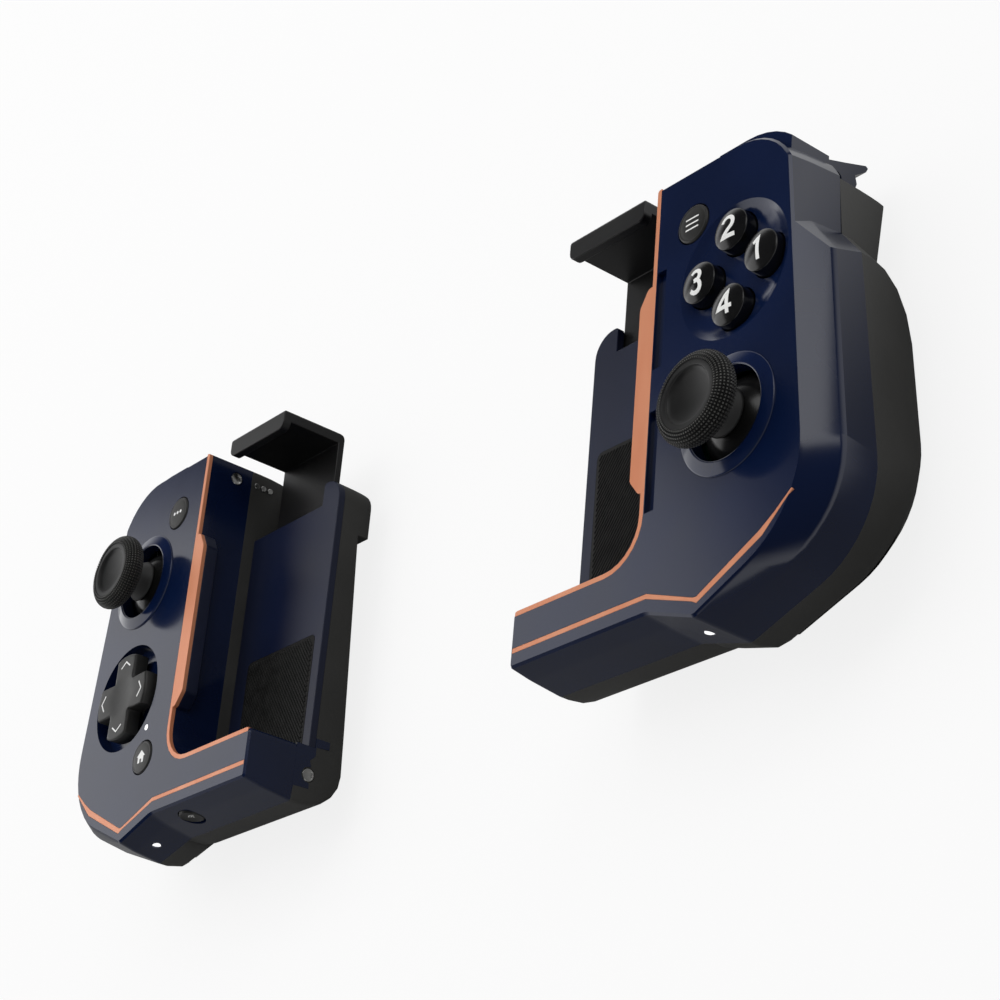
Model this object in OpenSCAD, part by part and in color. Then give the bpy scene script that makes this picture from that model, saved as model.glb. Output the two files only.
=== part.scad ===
/* [Phone fit] */
// Length of the phone that the two halves are drawn around
phone_len = 160.8; // [140:0.1:175]
// Width of that phone
phone_wid = 78.1; // [76:0.1:84]
// Play between each end of the phone and the inner wall
phone_play = 0.8; // [0.2:0.1:2]
// Play between the phone's lower edge and the foot
foot_play = 1.35; // [0.3:0.05:2]
// Play between the phone's upper edge and the clamp
clamp_play = 0.25; // [0.05:0.05:0.8]
// Depth of the lip's and the tab's back face below the front face
lip_d = 4.1; // [3.4:0.1:5]
// Depth of the phone slot, from the lip to the bed
slot_d = 11.7; // [11:0.1:13]

/* [Grip body] */
// Width of the body at its widest, on the front face
body_w = 43.1; // [42:0.1:48]
// How much narrower the body is at its top
lean = 7.1; // [5:0.1:9]
// Height of the body's top edge above the phone's centre line
body_top = 40; // [39:0.1:44]
// Length of the foot under the phone
foot_len = 35.5; // [30:0.5:45]
// Height of the foot
foot_h = 11.8; // [11:0.1:15]
// How far the point of the lower edge dips below the foot
v_drop = 4.3; // [2:0.1:7]
// Depth of the seam between the front shell and the back cover
seam_d = 12.7; // [12.4:0.1:14]
// Depth of the back cover's flat back
back_d = 25.5; // [25:0.1:30]
// How far the palm grip stands out behind the flat back
grip_d = 5; // [3:0.1:9]
// Wall thickness of the shell and the cover
wall = 2.2; // [1.8:0.1:2.6]
// Radius of the inner corner over the foot
inner_r = 9; // [5:0.5:12]
// Radius of the upper outer corner
crown_r = 15.8; // [12:0.1:18]
// Radius of the lower outer corner
heel_r = 22; // [16:0.5:24]

/* [Trim] */
// Width of the coloured stripe along the inner edge
stripe_w = 1.1; // [0.6:0.1:1.2]
// Depth of the stripe's inlay
stripe_d = 1; // [0.5:0.1:1.4]
// How far the tab reaches over the phone
tab_w = 3.3; // [2:0.1:5]
// Width of the accent line
accent_w = 1.1; // [0.6:0.1:1.6]
// Depth of the accent line's inlay
accent_d = 0.6; // [0.3:0.1:1]

/* [Sticks] */
// Radius of the thumbstick's cap
stick_r = 9.6; // [8:0.1:10]
// Height of the cap's rim above the front face
stick_h = 10.4; // [10:0.1:12]
// Outer radius of the collar round the stick
collar_r = 12.2; // [11.6:0.1:12.6]
// Width of the collar
collar_w = 2.9; // [2:0.1:3]
// Height of the collar above the front face
collar_h = 1; // [0.4:0.1:1.2]
// Depth of the stick's pivot below the front face
pivot_d = 10; // [9.8:0.1:10.4]

/* [Buttons] */
// Radius of the small round buttons
small_r = 4.05; // [3.6:0.05:4.2]
// Radius of the four action buttons
action_r = 4.3; // [3.8:0.1:4.5]
// Distance of each action button from the middle of the four
action_pitch = 8.2; // [7.8:0.1:8.4]
// Reach of each arm of the direction pad
pad_reach = 10.9; // [10:0.1:12]
// Half the width of an arm
pad_arm = 4.1; // [3.6:0.1:5]
// Height of the pad's tips over the front face
pad_rise = 1.6; // [0.8:0.1:2.4]
// Gap round every button
button_gap = 0.3; // [0.2:0.05:0.5]
// Travel of a button
button_travel = 0.9; // [0.4:0.1:0.9]

/* [Clamp] */
// Width of the clamp along the phone
clamp_w = 23; // [18:0.5:24]
// Distance of the clamp from the docking face
clamp_x = 6.3; // [6:0.1:10]
// Thickness of the clamp's top wall
clamp_t = 2.9; // [2:0.1:4]
// Radius of the clamp's round corners
clamp_round = 1.8; // [1:0.1:2]
// How far the lip reaches down over the phone
lip_h = 4.9; // [3.5:0.1:6]
// Thickness of the lip
lip_t = 2.1; // [1.5:0.1:3]
// Travel of the clamp towards the foot
clamp_in = 11; // [5:0.5:11]
// Thickness of the clamp's slide plate
slide_t = 1.7; // [1.2:0.1:2.2]
// Length of the slide plate below the clamp's top wall
slide_len = 43.3; // [38:0.5:46]

/* [Pins and fasteners] */
// Radius of the bumper's and the trigger's pins
pin_r = 1.2; // [0.9:0.1:1.3]
// Radius of the gimbal's pins
gimbal_pin_r = 1; // [0.8:0.1:1.2]
// Radial running clearance of every pin
run = 0.05; // [0.02:0.01:0.1]
// Gap between flat faces that slide past each other
slip = 0.3; // [0.2:0.05:0.4]
// Radius of a screw's shank
screw_r = 1.2; // [0.9:0.1:1.4]
// Radius of a screw's head
screw_head_r = 2.3; // [1.8:0.1:2.4]
// Radius of the docking magnets
magnet_r = 1.7; // [1.2:0.1:2]
// Thickness of the docking magnets
magnet_t = 1.8; // [1:0.1:2]

/* [Hidden] */
$fn = 48;

// A little overlap that keeps cuts clean
eps = 0.01;
// A size larger than the whole part
far = 400;

// Main planes of the right half, with z = 0 on the front face
in_x = phone_len / 2 + phone_play;
dock_x = in_x - foot_len;
top_y = body_top;
foot_y = -(phone_wid / 2 + foot_play);
sole_y = foot_y - foot_h;
v_x = in_x + 16;
v_y = sole_y - v_drop;
heel_x = in_x + body_w;
heel_y = v_y + 12.6;
bed_z = -lip_d - slot_d;
bed_t = 1.8;
bed_back_z = bed_z - bed_t;
flare_z = -seam_d * 0.41;
edge_round = 0.5;

// Step of the side wall, where the palm grip begins
step_y = top_y - 23;
step_rise = 5;

// How much wider the body is at the seam than on the front face
sole_flare = 1.9;
heel_flare = 5.9;

// Middle of the upper and of the lower control
control_x = in_x + body_w * 0.527;
upper_c = [control_x, top_y - 27.9];
lower_c = [control_x, foot_y + 21.8];
small_x = in_x + 11;
small_up = [small_x, top_y - 12.75];
small_low = [small_x - 0.3, foot_y + 3.8];

// Notch of the bed and the cover, which the clamp slides down into
ear_w = clamp_x + 0.5;
ear_y = top_y - 12.4;
notch_y = ear_y - 5.8;
ear_r = ear_w - 1.3;

// Clamp at rest on the phone
clamp_y = phone_wid / 2 + clamp_play;
clamp_top = clamp_y + clamp_t;
clamp_x0 = dock_x + clamp_x;
slide_z = bed_back_z - slip;
slide_back_z = slide_z - slide_t;
slide_y = clamp_y - slide_len;
well_y = slide_y - clamp_in - 9;

// Drum of the clamp's spring, in a pocket at the end of the slide
drum_r = 2.2;
drum_w = 12;
drum_x = clamp_x0 + clamp_w / 2;
drum_y = well_y + drum_r + slip;
drum_z = slide_z - drum_r;

// Layers inside the body
board_z = -7.2;
board_t = 1.6;
board_reach = 9.4;
pad_t = 0.8;
floor_z = -back_d + wall + 0.3;
deep_skin = 4.2;
recess_d = 3.4;
recess_floor = 5;
recess_r = 13.5;
dish_r = 14.3;
dish_d = 1.6;
flange_w = 0.6;
flange_t = 1;
stem_z = board_z + pad_t + button_travel + 0.1;

// Stick gimbal
pivot_z = -pivot_d;
ring_in = 4.2;
ring_out = 5.7;
ring_h = 1.6;
box_in = 6.2;
box_out = 9.4;
box_top = pivot_z + 2;
box_low = pivot_z - 6;
skirt_r = 11.2;
skirt_arc = 68;

// Bumper and trigger
bumper_hinge = [in_x + 10.8, top_y - 4.8];
bumper_x0 = in_x + 14.8;
bumper_x1 = in_x + 34.5;
bumper_out = 2.3;
trigger_hinge = [top_y - 5, -seam_d - 2.9];
trigger_x0 = in_x + 9.8;
trigger_x1 = in_x + 33.5;
lug_x0 = in_x + 28.1;
lug_w = 2.2;
trigger_floor = top_y - 8.5;

// Fasteners, the docking points and the lamps
screw_at = [[in_x + 4.2, top_y - 8.6], [in_x + 28.8, heel_y + 0.4], [dock_x + 12.3, foot_y - foot_h / 2]];
screw_seat_z = -seam_d - 7.3;
screw_len = 14;
boss_r = 2.4;
magnet_top = [top_y - 3.85, -8.5];
magnet_foot = [foot_y - 6.65, -seam_d - 3.9];
contact_z0 = -seam_d - 1.5;
contact_step = 2;
contact_r = 0.75;
lamp_r = 1;
lamp_low = [in_x + 12, -7.9];
lamp_front = [in_x + 11, foot_y + 11.4];
pair_at = [in_x - 5.6, -6];
pair_r = 3;
usb_y = top_y - 14.6;
usb_w = 9;
usb_h = 3.2;

// Place of the whole part: it lies on the palm grips, with its middle over the origin
front_h = back_d + grip_d;
y_shift = -(clamp_top + v_y - 1.2) / 2;

navy = "#0b1838";
black = "#1d1d1e";
charcoal = "#3a3a38";
copper = "#d98a62";
steel = "#b9bcc0";

// Plane geometry

function unit(v) = v / norm(v);
function turn(v) = [-v[1], v[0]];
function wrap(a) = a > 180 ? a - 360 : a < -180 ? a + 360 : a;

// Points of one corner [x, y, radius, steps] between its neighbours
function corner_arc(p, a, b, r, n) =
  let (u = unit(a - p), w = unit(b - p), half = acos(u * w) / 2)
  let (c = p + unit(u + w) * r / sin(half))
  let (s = p + u * r / tan(half) - c, e = p + w * r / tan(half) - c)
  let (a0 = atan2(s[1], s[0]), sweep = wrap(atan2(e[1], e[0]) - a0))
  [for (i = [0:n]) c + r * [cos(a0 + sweep * i / n), sin(a0 + sweep * i / n)]];

function at(c, i) = let (k = (i + len(c)) % len(c)) [c[k][0], c[k][1]];

// Closed outline through corners [x, y, radius, steps], round where the radius is not 0
function outline(c) = [for (i = [0:len(c) - 1])
  each c[i][2] == 0 ? [at(c, i)] : corner_arc(at(c, i), at(c, i - 1), at(c, i + 1), c[i][2], c[i][3])];

// The corners moved inwards, each edge i by d[i]
function shrink(c, d) = [for (i = [0:len(c) - 1])
  let (n1 = turn(unit(at(c, i) - at(c, i - 1))), n2 = turn(unit(at(c, i + 1) - at(c, i))))
  let (d1 = d[(i + len(c) - 1) % len(c)], d2 = d[i], k = n1[0] * n2[1] - n1[1] * n2[0])
  let (m = abs(k) < 0.001 ? n1 * d1 : [d1 * n2[1] - d2 * n1[1], n1[0] * d2 - n2[0] * d1] / k)
  let (r = c[i][2], near = k > 0 ? -min(d1, d2) : min(d1, d2))
  [c[i][0] + m[0], c[i][1] + m[1], r == 0 ? 0 : max(0.3, r + near), c[i][3]]];

function shrink_all(c, d) = shrink(c, [for (i = c) d]);
function ring(c, z) = [for (p = outline(c)) [p[0], p[1], z]];

// Closed solid through rings of equal length, from the highest to the lowest.
// Ends that turn a corner are closed round the point hub.
module loft(rings, hub = []) {
  n = len(rings[0]);
  last = (len(rings) - 1) * n;
  top = last + n;
  sides = [for (k = [0:len(rings) - 2], i = [0:n - 1])
    let (a = k * n + i, b = k * n + (i + 1) % n)
    each [[a, b, b + n], [a, b + n, a + n]]];
  plain = [[for (i = [n - 1:-1:0]) i], [for (i = [0:n - 1]) last + i]];
  round_hub = [for (i = [0:n - 1])
    let (j = (i + 1) % n)
    each [[top, j, i], [top + 1, last + i, last + j]]];
  hubs = len(hub) == 0 ? [] : [for (r = [rings[0], rings[len(rings) - 1]]) [hub[0], hub[1], r[0][2]]];
  polyhedron(points = concat([for (r = rings) each r], hubs),
    faces = concat(len(hub) == 0 ? plain : round_hub, sides), convexity = 8);
}

// Solid with upright sides from z1 down to z0, whose edges i then round over by d[i] in depth
module domed(c, d, z1, z0, depth, steps) {
  loft(concat([ring(c, z1)], [for (k = [0:steps])
    let (f = 90 * k / steps)
    ring(shrink(c, [for (e = d) e * (1 - cos(f))]), z0 - depth * sin(f))]));
}

// Flat solid of an outline, from z0 up to z1
module slab(points, z0, z1) {
  translate([0, 0, z0]) linear_extrude(z1 - z0) polygon(points);
}

// Cylinder along X, Y or Z from a point
module rod_x(p, r, length) { translate(p) rotate([0, 90, 0]) cylinder(r = r, h = length); }
module rod_y(p, r, length) { translate(p) rotate([-90, 0, 0]) cylinder(r = r, h = length); }
module rod_z(p, r, length) { translate(p) cylinder(r = r, h = length); }

module block(x, y, z) {
  translate([x[0], y[0], z[0]]) cube([x[1] - x[0], y[1] - y[0], z[1] - z[0]]);
}

// Strip along a path, with mitred bends and its own width at each point
function offset_path(path, d) = [for (i = [0:len(path) - 1])
  let (a = i > 0 ? unit(path[i] - path[i - 1]) : unit(path[1] - path[0]))
  let (b = i < len(path) - 1 ? unit(path[i + 1] - path[i]) : a)
  let (m = unit(turn(a) + turn(b)))
  path[i] + m * d[i] / (m * turn(a))];
function strip(path, w) =
  let (a = offset_path(path, w / 2), b = offset_path(path, -w / 2))
  concat(a, [for (i = [len(b) - 1:-1:0]) b[i]]);

// Outlines of the body

// Place of the straight outer edge of the front face at height y
function side_x(y) = heel_x - lean * (y - heel_y) / (top_y - heel_y);

// Swell of the side at the crease's two edges (t = 0.9 and 1.1) and at the seam (t = 2)
heel_swell = [[0, 0], [0.9, 0.76], [1.1, 0.86], [2, 1]];
step_swell = [[0, 0], [0.9, 0.86], [1.1, 0.96], [2, 0.94]];
step_drop = [[0, 1.2], [0.9, 6.9], [1.1, 6.9], [2, 4.5]];
crown_turn = 60;
crown_h = crown_r * (1 - cos(crown_turn)) + 1.2;

// Corners of the body, from the front face (t = 0) over the crease to the seam (t = 2)
function body(t) =
  let (f = t / 2, low = step_y - lookup(t, step_drop), high = step_y + t)
  let (end_y = top_y - crown_h + 0.6 * t, end_x = side_x(end_y) + 0.4 * f)
  [[in_x, top_y, 0.6, 2],
   [in_x, foot_y, inner_r, 7],
   [dock_x, foot_y, 1.3, 3],
   [dock_x, sole_y - sole_flare * f, 0.8, 2],
   [in_x + 3.3 + 1.5 * f, sole_y - 2 * f, 6, 4],
   [v_x + 1.8 * f, v_y - 1.2 * f, 2, 4],
   [heel_x + heel_flare * lookup(t, heel_swell), heel_y - 2.2 * f, heel_r - 2 * f, 10],
   [side_x(low) + step_rise * lookup(t, step_swell), low, 0, 0],
   [side_x(high), high, 0, 0],
   [end_x, end_y, 0, 0],
   [end_x - (top_y - end_y) / tan(crown_turn), top_y, crown_r - 1.6 * t, 7]];

// Corners of the back cover's flat part: the bed with its notch, the foot and the top of the body
cover = [
  [in_x, top_y, 0.6, 2],
  [in_x, notch_y, 0, 0],
  [dock_x + ear_w, notch_y, 0, 0],
  [dock_x + ear_w, ear_y, 0.6, 2],
  [dock_x, ear_y, ear_r, 6],
  [dock_x, sole_y - sole_flare, 0.8, 2],
  [in_x + 10, sole_y - sole_flare, 0, 0],
  [side_x(step_y - 7), step_y - 7, 0, 0],
  body(2)[9],
  body(2)[10]];
round_z = -seam_d - 2.3;
cover_round = [0, 0, 0, 0.6, 0.5, 9, 3, 0.8, 0.8, 2];

// Corners of the palm grip, which follows the seam from the bend of the foot to the step
palm = [
  [in_x + 3, step_y + 6, 4, 3],
  [body(2)[4][0], body(2)[4][1] - 0.05, 6, 4],
  body(2)[5],
  body(2)[6],
  body(2)[7],
  2 * body(2)[8] - body(2)[7]];
palm_round = [20, 33, 26, 6.5, 18, 24];

// Opening between the two halves of one body, seen from the front
window = [
  [dock_x - 20, foot_y, 0, 0],
  [in_x, foot_y, inner_r, 7],
  [in_x, top_y + 20, 0, 0],
  [dock_x - 20, top_y + 20, 0, 0]];
tab_top = top_y - 22;
end_land = edge_round + 0.1;
tab_low = foot_y + 13.8;
function tab(overlap) = [
  [in_x + overlap, tab_top, 0, 0],
  [in_x - tab_w * 0.35, tab_top - 0.2, 1.2, 3],
  [in_x - tab_w, tab_top - 3.9, 2, 3],
  [in_x - tab_w, tab_low + 3.2, 1.4, 3],
  [in_x - tab_w * 0.25, tab_low, 0.8, 3],
  [in_x + overlap, tab_low - 0.2, 0, 0]];
accent_bend = [in_x + 3.2, foot_y - 8.3];
accent_v = [v_x + 0.7, v_y + 3.1];
accent_path = [
  [dock_x + end_land, foot_y - 8.3],
  accent_bend,
  accent_v + 0.08 * (accent_bend - accent_v),
  accent_v,
  [in_x + 32.3, heel_y - 1.6],
  [in_x + 35.7, heel_y + 1.1],
  [heel_x - 3.4, heel_y + 4.6]];
accent_ws = accent_w * [1, 0.95, 0.7, 1.15, 1.35, 0.75, 0.45];

// Plan of the trim's groove, which stops short of the end of the foot
module stripe_plan() {
  difference() {
    polygon(outline(shrink(window, [-stripe_w, -stripe_w, 0, 0])));
    translate([dock_x - far, foot_y - far]) square([far + end_land, far]);
  }
}

module trim_plan() {
  intersection() {
    union() {
      polygon(outline(body(0)));
      polygon(outline(tab(0.5)));
    }
    stripe_plan();
  }
}

module accent_plan() {
  intersection() {
    polygon(outline(body(0)));
    polygon(strip(accent_path, accent_ws));
  }
}

// Both halves

// Puts a piece of the right half, or its mirror image, in its place
module half(right) {
  translate([0, y_shift, front_h]) mirror([right ? 0 : 1, 0, 0]) children();
}

function stick_c(right) = right ? lower_c : upper_c;

module shell_holes(right) {
  c = stick_c(right);
  rod_z([c[0], c[1], -wall - 1], collar_r + run, wall + 2);
  rod_z([small_up[0], small_up[1], -wall - 1], small_r + button_gap, wall + 2);
  lamp_hole();
  if (right) {
    translate([upper_c[0], upper_c[1], 0]) rotate_extrude($fn = 96) polygon([
      [0, -dish_d], [dish_r - 5, -dish_d], [dish_r - 2.4, -dish_d * 0.75], [dish_r, 0],
      [dish_r + 1, 1], [0, 1]]);
    for (i = [0:3]) {
      rod_z(concat(action_at(i), -deep_skin - 1), action_r + button_gap, deep_skin + 2);
    }
    for (y = [[upper_c[1] - 13.3, upper_c[1] + 8.2], [lower_c[1] - 12.9, lower_c[1] + 8.3]]) {
      block([in_x + 1.3, in_x + 3.9], y, [-1.4, 1]);
    }
  } else {
    rod_z([small_low[0], small_low[1], -wall - 1], small_r + button_gap, wall + 2);
    rod_z([lower_c[0], lower_c[1], -recess_d], recess_r, recess_d + 1);
    rod_z([lower_c[0], lower_c[1], -recess_floor - 1], 5.2, recess_floor);
    rod_z([lamp_front[0], lamp_front[1], -recess_floor - 1], lamp_r * 0.7, recess_floor + 2);
    rod_y([pair_at[0], sole_y - 3, pair_at[1]], pair_r + button_gap, 3 + wall + 1);
    usb_cut();
  }
}

module lamp_hole() {
  rod_y([lamp_low[0], v_y - 4, lamp_low[1]], lamp_r, 8 + wall);
}

// Opening for the charging port, in the shell and as far as it reaches in the cover
module usb_cut() { usb_plan(usb_w + 0.4, usb_h + 0.4, side_x(usb_y) - 10, 20); }

module usb_plan(w, h, x0, length) {
  z = board_z - board_t - usb_h / 2;
  for (side = [-1, 1]) {
    rod_x([x0, usb_y + side * (w - h) / 2, z], h / 2, length);
  }
  block([x0, x0 + length], [usb_y - (w - h) / 2, usb_y + (w - h) / 2], [z - h / 2, z + h / 2]);
}

function action_at(i) = upper_c + action_pitch * [cos(90 * i), sin(90 * i)];

// Posts and lugs on the inside of the front shell
module shell_inside(right) {
  for (p = screw_at) {
    rod_z([p[0], p[1], -seam_d], boss_r, seam_d - 1);
  }
  for (p = [[in_x + 5.1, upper_c[1] + 6.9], [in_x + 5.1, lower_c[1] - 8.4], [control_x + 6.1, heel_y + 7.9]]) {
    rod_z([p[0], p[1], board_z], 1.7, -board_z - 1);
  }
  rod_z([bumper_hinge[0], bumper_hinge[1], -11.5], pin_r, 10.5);
  if (right) {
    rod_z([upper_c[0], upper_c[1], -deep_skin], action_pitch + action_r + 1.2, deep_skin - 1);
  } else {
    rod_z([lower_c[0], lower_c[1], -recess_floor], recess_r + 1.6, recess_floor - 1);
    for (side = [-1, 1]) {
      block([lower_c[0] + side * 6.3 - 1.1, lower_c[0] + side * 6.3 + 1.1],
        [lower_c[1] - 2.2, lower_c[1] + 2.2], [-10.4, -recess_floor + 0.2]);
    }
  }
}

module front_shell(right) {
  color(navy) half(right) difference() {
    union() {
      difference() {
        loft([ring(shrink_all(body(0), edge_round), 0), ring(body(0), -edge_round),
          ring(body(0.9), flare_z + 0.5), ring(body(1.1), flare_z - 0.7), ring(body(2), -seam_d)],
          [in_x + 8, foot_y - 5]);
        slab(outline(shrink_all(body(0), wall)), -seam_d - 1, -wall);
      }
      shell_inside(right);
    }
    translate([0, 0, -stripe_d]) linear_extrude(stripe_d + 2) stripe_plan();
    slab(strip(accent_path, accent_ws), -accent_d, 2);
    shell_holes(right);
    block([bumper_x0 - slip, bumper_x1 + slip], [top_y - 9.4, top_y + 2], [-seam_d - 1, -wall]);
    for (p = screw_at) {
      rod_z([p[0], p[1], screw_seat_z], screw_r, screw_len);
    }
    rod_x([in_x - 1, magnet_top[0], magnet_top[1]], magnet_r, magnet_t + 1);
    if (!right) {
      rod_x([lower_c[0] - 7.3, lower_c[1], -8.6], 1.1 + run, 14.6);
    }
  }
}

// Ledge under the trim's tab, which holds the phone back at its end
module phone_tab(right) { color(navy) half(right) slab(outline(tab(0)), -lip_d, -stripe_d); }

module back_cover(right) {
  c = stick_c(right);
  color(charcoal) half(right) difference() {
    union() {
      difference() {
        union() {
          difference() {
            domed(cover, cover_round, 1 - seam_d, round_z, back_d + round_z, 5);
            bed_space();
            finger_slope();
          }
          domed(palm, palm_round, 1 - seam_d, round_z, back_d + grip_d + round_z, 6);
        }
        block([0, far], [-far, far], [-seam_d, far]);
        difference() {
          slab(outline(shrink_all(body(2), wall + 0.2)), floor_z, -seam_d + 1);
          block([-far, in_x + wall], [-far, far], [-far, far]);
          block([trigger_x0 - slip - wall, far], [trigger_floor - wall, far], [-far, far]);
        }
        block([trigger_x0 - slip, far], [trigger_floor, far], [-far, 0]);
      }
      block([c[0] - 7, c[0] + 7], [c[1] - 7, c[1] + 7], [floor_z - 0.5, box_low]);
      for (p = [screw_at[0], screw_at[1]]) {
        rod_z([p[0], p[1], floor_z - 0.5], boss_r + 1.2, 0.5 - seam_d - floor_z);
      }
      trigger_lug();
    }
    for (p = screw_at) {
      rod_z([p[0], p[1], -far], screw_head_r + 0.2, far + screw_seat_z);
      rod_z([p[0], p[1], screw_seat_z - 1], screw_r + run, far);
    }
    rod_x([trigger_x0 - slip - wall + 0.4, trigger_hinge[0], trigger_hinge[1]], pin_r,
      lug_x0 + lug_w - trigger_x0 + slip + wall + 0.6);
    rod_x([dock_x - 1, magnet_foot[0], magnet_foot[1]], magnet_r, magnet_t + 1);
    for (i = [0:2]) {
      rod_x([in_x - 1, magnet_top[0], contact_z0 - contact_step * i], contact_r, wall + 2);
    }
    if (!right) {
      usb_cut();
    }
  }
}

// Slope beside the back, where the finger comes round to the trigger
module finger_slope() {
  translate([side_x(trigger_floor) - 0.6, trigger_floor, -back_d]) rotate([-6.7, -35.7, 0])
    translate([-30, -40, -20]) cube([60, 80, 20]);
}

// Room for the bed, for the clamp's slide plate behind it and for the spring's drum, and the slope of the bed's back
module bed_space() {
  block([dock_x - 1, in_x], [foot_y, ear_y + 1], [bed_back_z, 0]);
  block([clamp_x0 - slip, clamp_x0 + clamp_w + slip], [well_y, ear_y + 1], [slide_back_z - slip, bed_back_z + 0.5]);
  block([drum_x - drum_w / 2 - slip, drum_x + drum_w / 2 + slip], [well_y + 0.1, well_y + 2 * (drum_r + slip)],
    [drum_z - drum_r - slip, bed_back_z + 0.3]);
  rod_x([drum_x - drum_w / 2 - 2, drum_y, drum_z], 0.8, drum_w + 4);
  translate([dock_x - 1, notch_y - 7.5, -back_d + 3.1]) rotate([3, 0, 0])
    translate([0, -80, -20]) cube([in_x - dock_x - 5, 80, 20]);
}

// Bearing for the outer end of the trigger's pin, on the floor of the trigger's well
module trigger_lug() {
  h = trigger_hinge;
  block([lug_x0, lug_x0 + lug_w], [trigger_floor - 1, h[0] + pin_r + 0.5], [h[1] - pin_r - 0.5, h[1] + pin_r + 0.5]);
}

module phone_bed(right) {
  color(navy) half(right) difference() {
    slab(outline([
      [in_x, notch_y, 0, 0],
      [dock_x + ear_w, notch_y, 0, 0],
      [dock_x + ear_w, ear_y, 0.6, 2],
      [dock_x, ear_y, ear_r, 8],
      [dock_x, foot_y, 0, 0],
      [in_x, foot_y, 0, 0]]), bed_back_z, bed_z);
    pad_block(right);
  }
}

// Rubber pad in the bed, taller on the right, where no camera lies against the bed
module pad_block(right) {
  pad_top = right ? notch_y - 22.6 : notch_y - 34;
  slab(outline([
    [dock_x + 3, foot_y + 0.6, 0.6, 2],
    [in_x - 5, foot_y + 0.6, 0.6, 2],
    [in_x - 5, pad_top, 1.5, 3],
    [dock_x + 3, pad_top, 1.5, 3]]), bed_z - 1, bed_z + 0.3);
}

module phone_pad(right) { color(black) half(right) pad_block(right); }

module edge_trim(right) {
  color(copper) half(right) translate([0, 0, -stripe_d]) linear_extrude(stripe_d) trim_plan();
}

module accent_line(right) {
  color(copper) half(right) translate([0, 0, -accent_d]) linear_extrude(accent_d) accent_plan();
}

// Hook over the phone's upper edge, with the plate that slides behind the bed
module clamp(right) {
  x1 = clamp_x0 + clamp_w;
  front = lip_t - lip_d;
  color(black) half(right) intersection() {
    union() {
      block([clamp_x0, x1], [clamp_y, clamp_top], [slide_back_z, -lip_d + eps]);
      block([clamp_x0, x1], [slide_y, clamp_top], [slide_back_z, slide_z]);
      slab(outline([
        [clamp_x0, clamp_top - lip_h, clamp_round, 4],
        [x1, clamp_top - lip_h, clamp_round, 4],
        [x1, clamp_top, 0, 0],
        [clamp_x0, clamp_top, 0, 0]]), -lip_d, front);
    }
    translate([clamp_x0, 0, 0]) rotate([90, 0, 90]) linear_extrude(clamp_w) polygon(outline([
      [slide_y, slide_back_z, 0, 0],
      [clamp_top, slide_back_z, clamp_round, 5],
      [clamp_top, front, clamp_round / 2, 4],
      [slide_y, front, 0, 0]]));
    slab(outline([
      [clamp_x0, slide_y, 0, 0],
      [x1, slide_y, 0, 0],
      [x1, clamp_top, clamp_round / 2, 4],
      [clamp_x0, clamp_top, clamp_round / 2, 4]]), slide_back_z, front);
  }
}

// Drum of the roll spring that draws the clamp towards the foot, on its axle
module clamp_spring(right) {
  color(steel) half(right) {
    rod_x([drum_x - drum_w / 2, drum_y, drum_z], drum_r, drum_w);
    rod_x([drum_x - drum_w / 2 - 2, drum_y, drum_z], 0.8, drum_w + 4);
  }
}

module stick_collar(right) {
  c = stick_c(right);
  color(navy) half(right) translate([c[0], c[1], 0]) rotate_extrude($fn = 96)
    polygon([
      [collar_r - collar_w, -wall], [collar_r, -wall], [collar_r, collar_h - 0.5],
      [collar_r - 0.5, collar_h], [collar_r - collar_w + 0.9, collar_h], [collar_r - collar_w, collar_h - 0.9]]);
}

// Cap, stem and dust skirt in one piece
module thumbstick(right) {
  c = stick_c(right);
  stem_r = 3.2;
  color(black) half(right) translate([c[0], c[1], 0]) difference() {
    rotate_extrude($fn = 96) {
      polygon([
        [0, 0.5], [stem_r + 1, 0.2], [stem_r, stick_h - 5], [4.4, stick_h - 4.4], [stick_r - 0.8, stick_h - 3.9],
        [stick_r, stick_h - 3.2], [stick_r, stick_h - 1.4], [stick_r - 1, stick_h - 0.1],
        [stick_r - 2.4, stick_h], [stick_r - 3.6, stick_h - 0.8], [0, stick_h - 1.2]]);
      polygon(concat(
        [for (a = [0:4:skirt_arc]) [skirt_r * sin(a), pivot_z + skirt_r * cos(a)]],
        [for (a = [skirt_arc:-4:0]) [(skirt_r - 1) * sin(a), pivot_z + (skirt_r - 1) * cos(a)]]));
    }
    block([-1.65, 1.65], [-1.65, 1.65], [-far, 3]);
  }
}

// Inner part of the gimbal, which tips sideways in the yoke and guides the stick's click
module stick_rocker(right) {
  c = stick_c(right);
  color(steel) half(right) translate([c[0], c[1], pivot_z]) union() {
    block([-3.2, 3.2], [-ring_in + slip, ring_in - slip], [-2.2, 2.2]);
    block([-1.6, 1.6], [-1.6, 1.6], [2, -pivot_z + 2.4]);
    rod_y([0, -5.5, 0], gimbal_pin_r, 11);
  }
}

// Outer part of the gimbal, which tips up and down in the module
module stick_yoke(right) {
  c = stick_c(right);
  color(steel) half(right) translate([c[0], c[1], pivot_z]) difference() {
    union() {
      block([-ring_out, ring_out], [-ring_out, ring_out], [-ring_h, ring_h]);
      rod_x([-box_out + 0.2, 0, 0], gimbal_pin_r, 2 * box_out - 0.4);
    }
    block([-ring_in, ring_in], [-ring_in, ring_in], [-far, far]);
    rod_y([0, -far, 0], gimbal_pin_r + run, 2 * far);
  }
}

// Open box that carries the gimbal
module stick_module(right) {
  c = stick_c(right);
  color(black) half(right) translate([c[0], c[1], 0]) difference() {
    rod_z([0, 0, box_low], box_out, box_top - box_low);
    block([-box_in, box_in], [-box_in, box_in], [box_low + 1.5, 0]);
    rod_x([-far, 0, pivot_z], gimbal_pin_r + run, 2 * far);
  }
}

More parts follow.
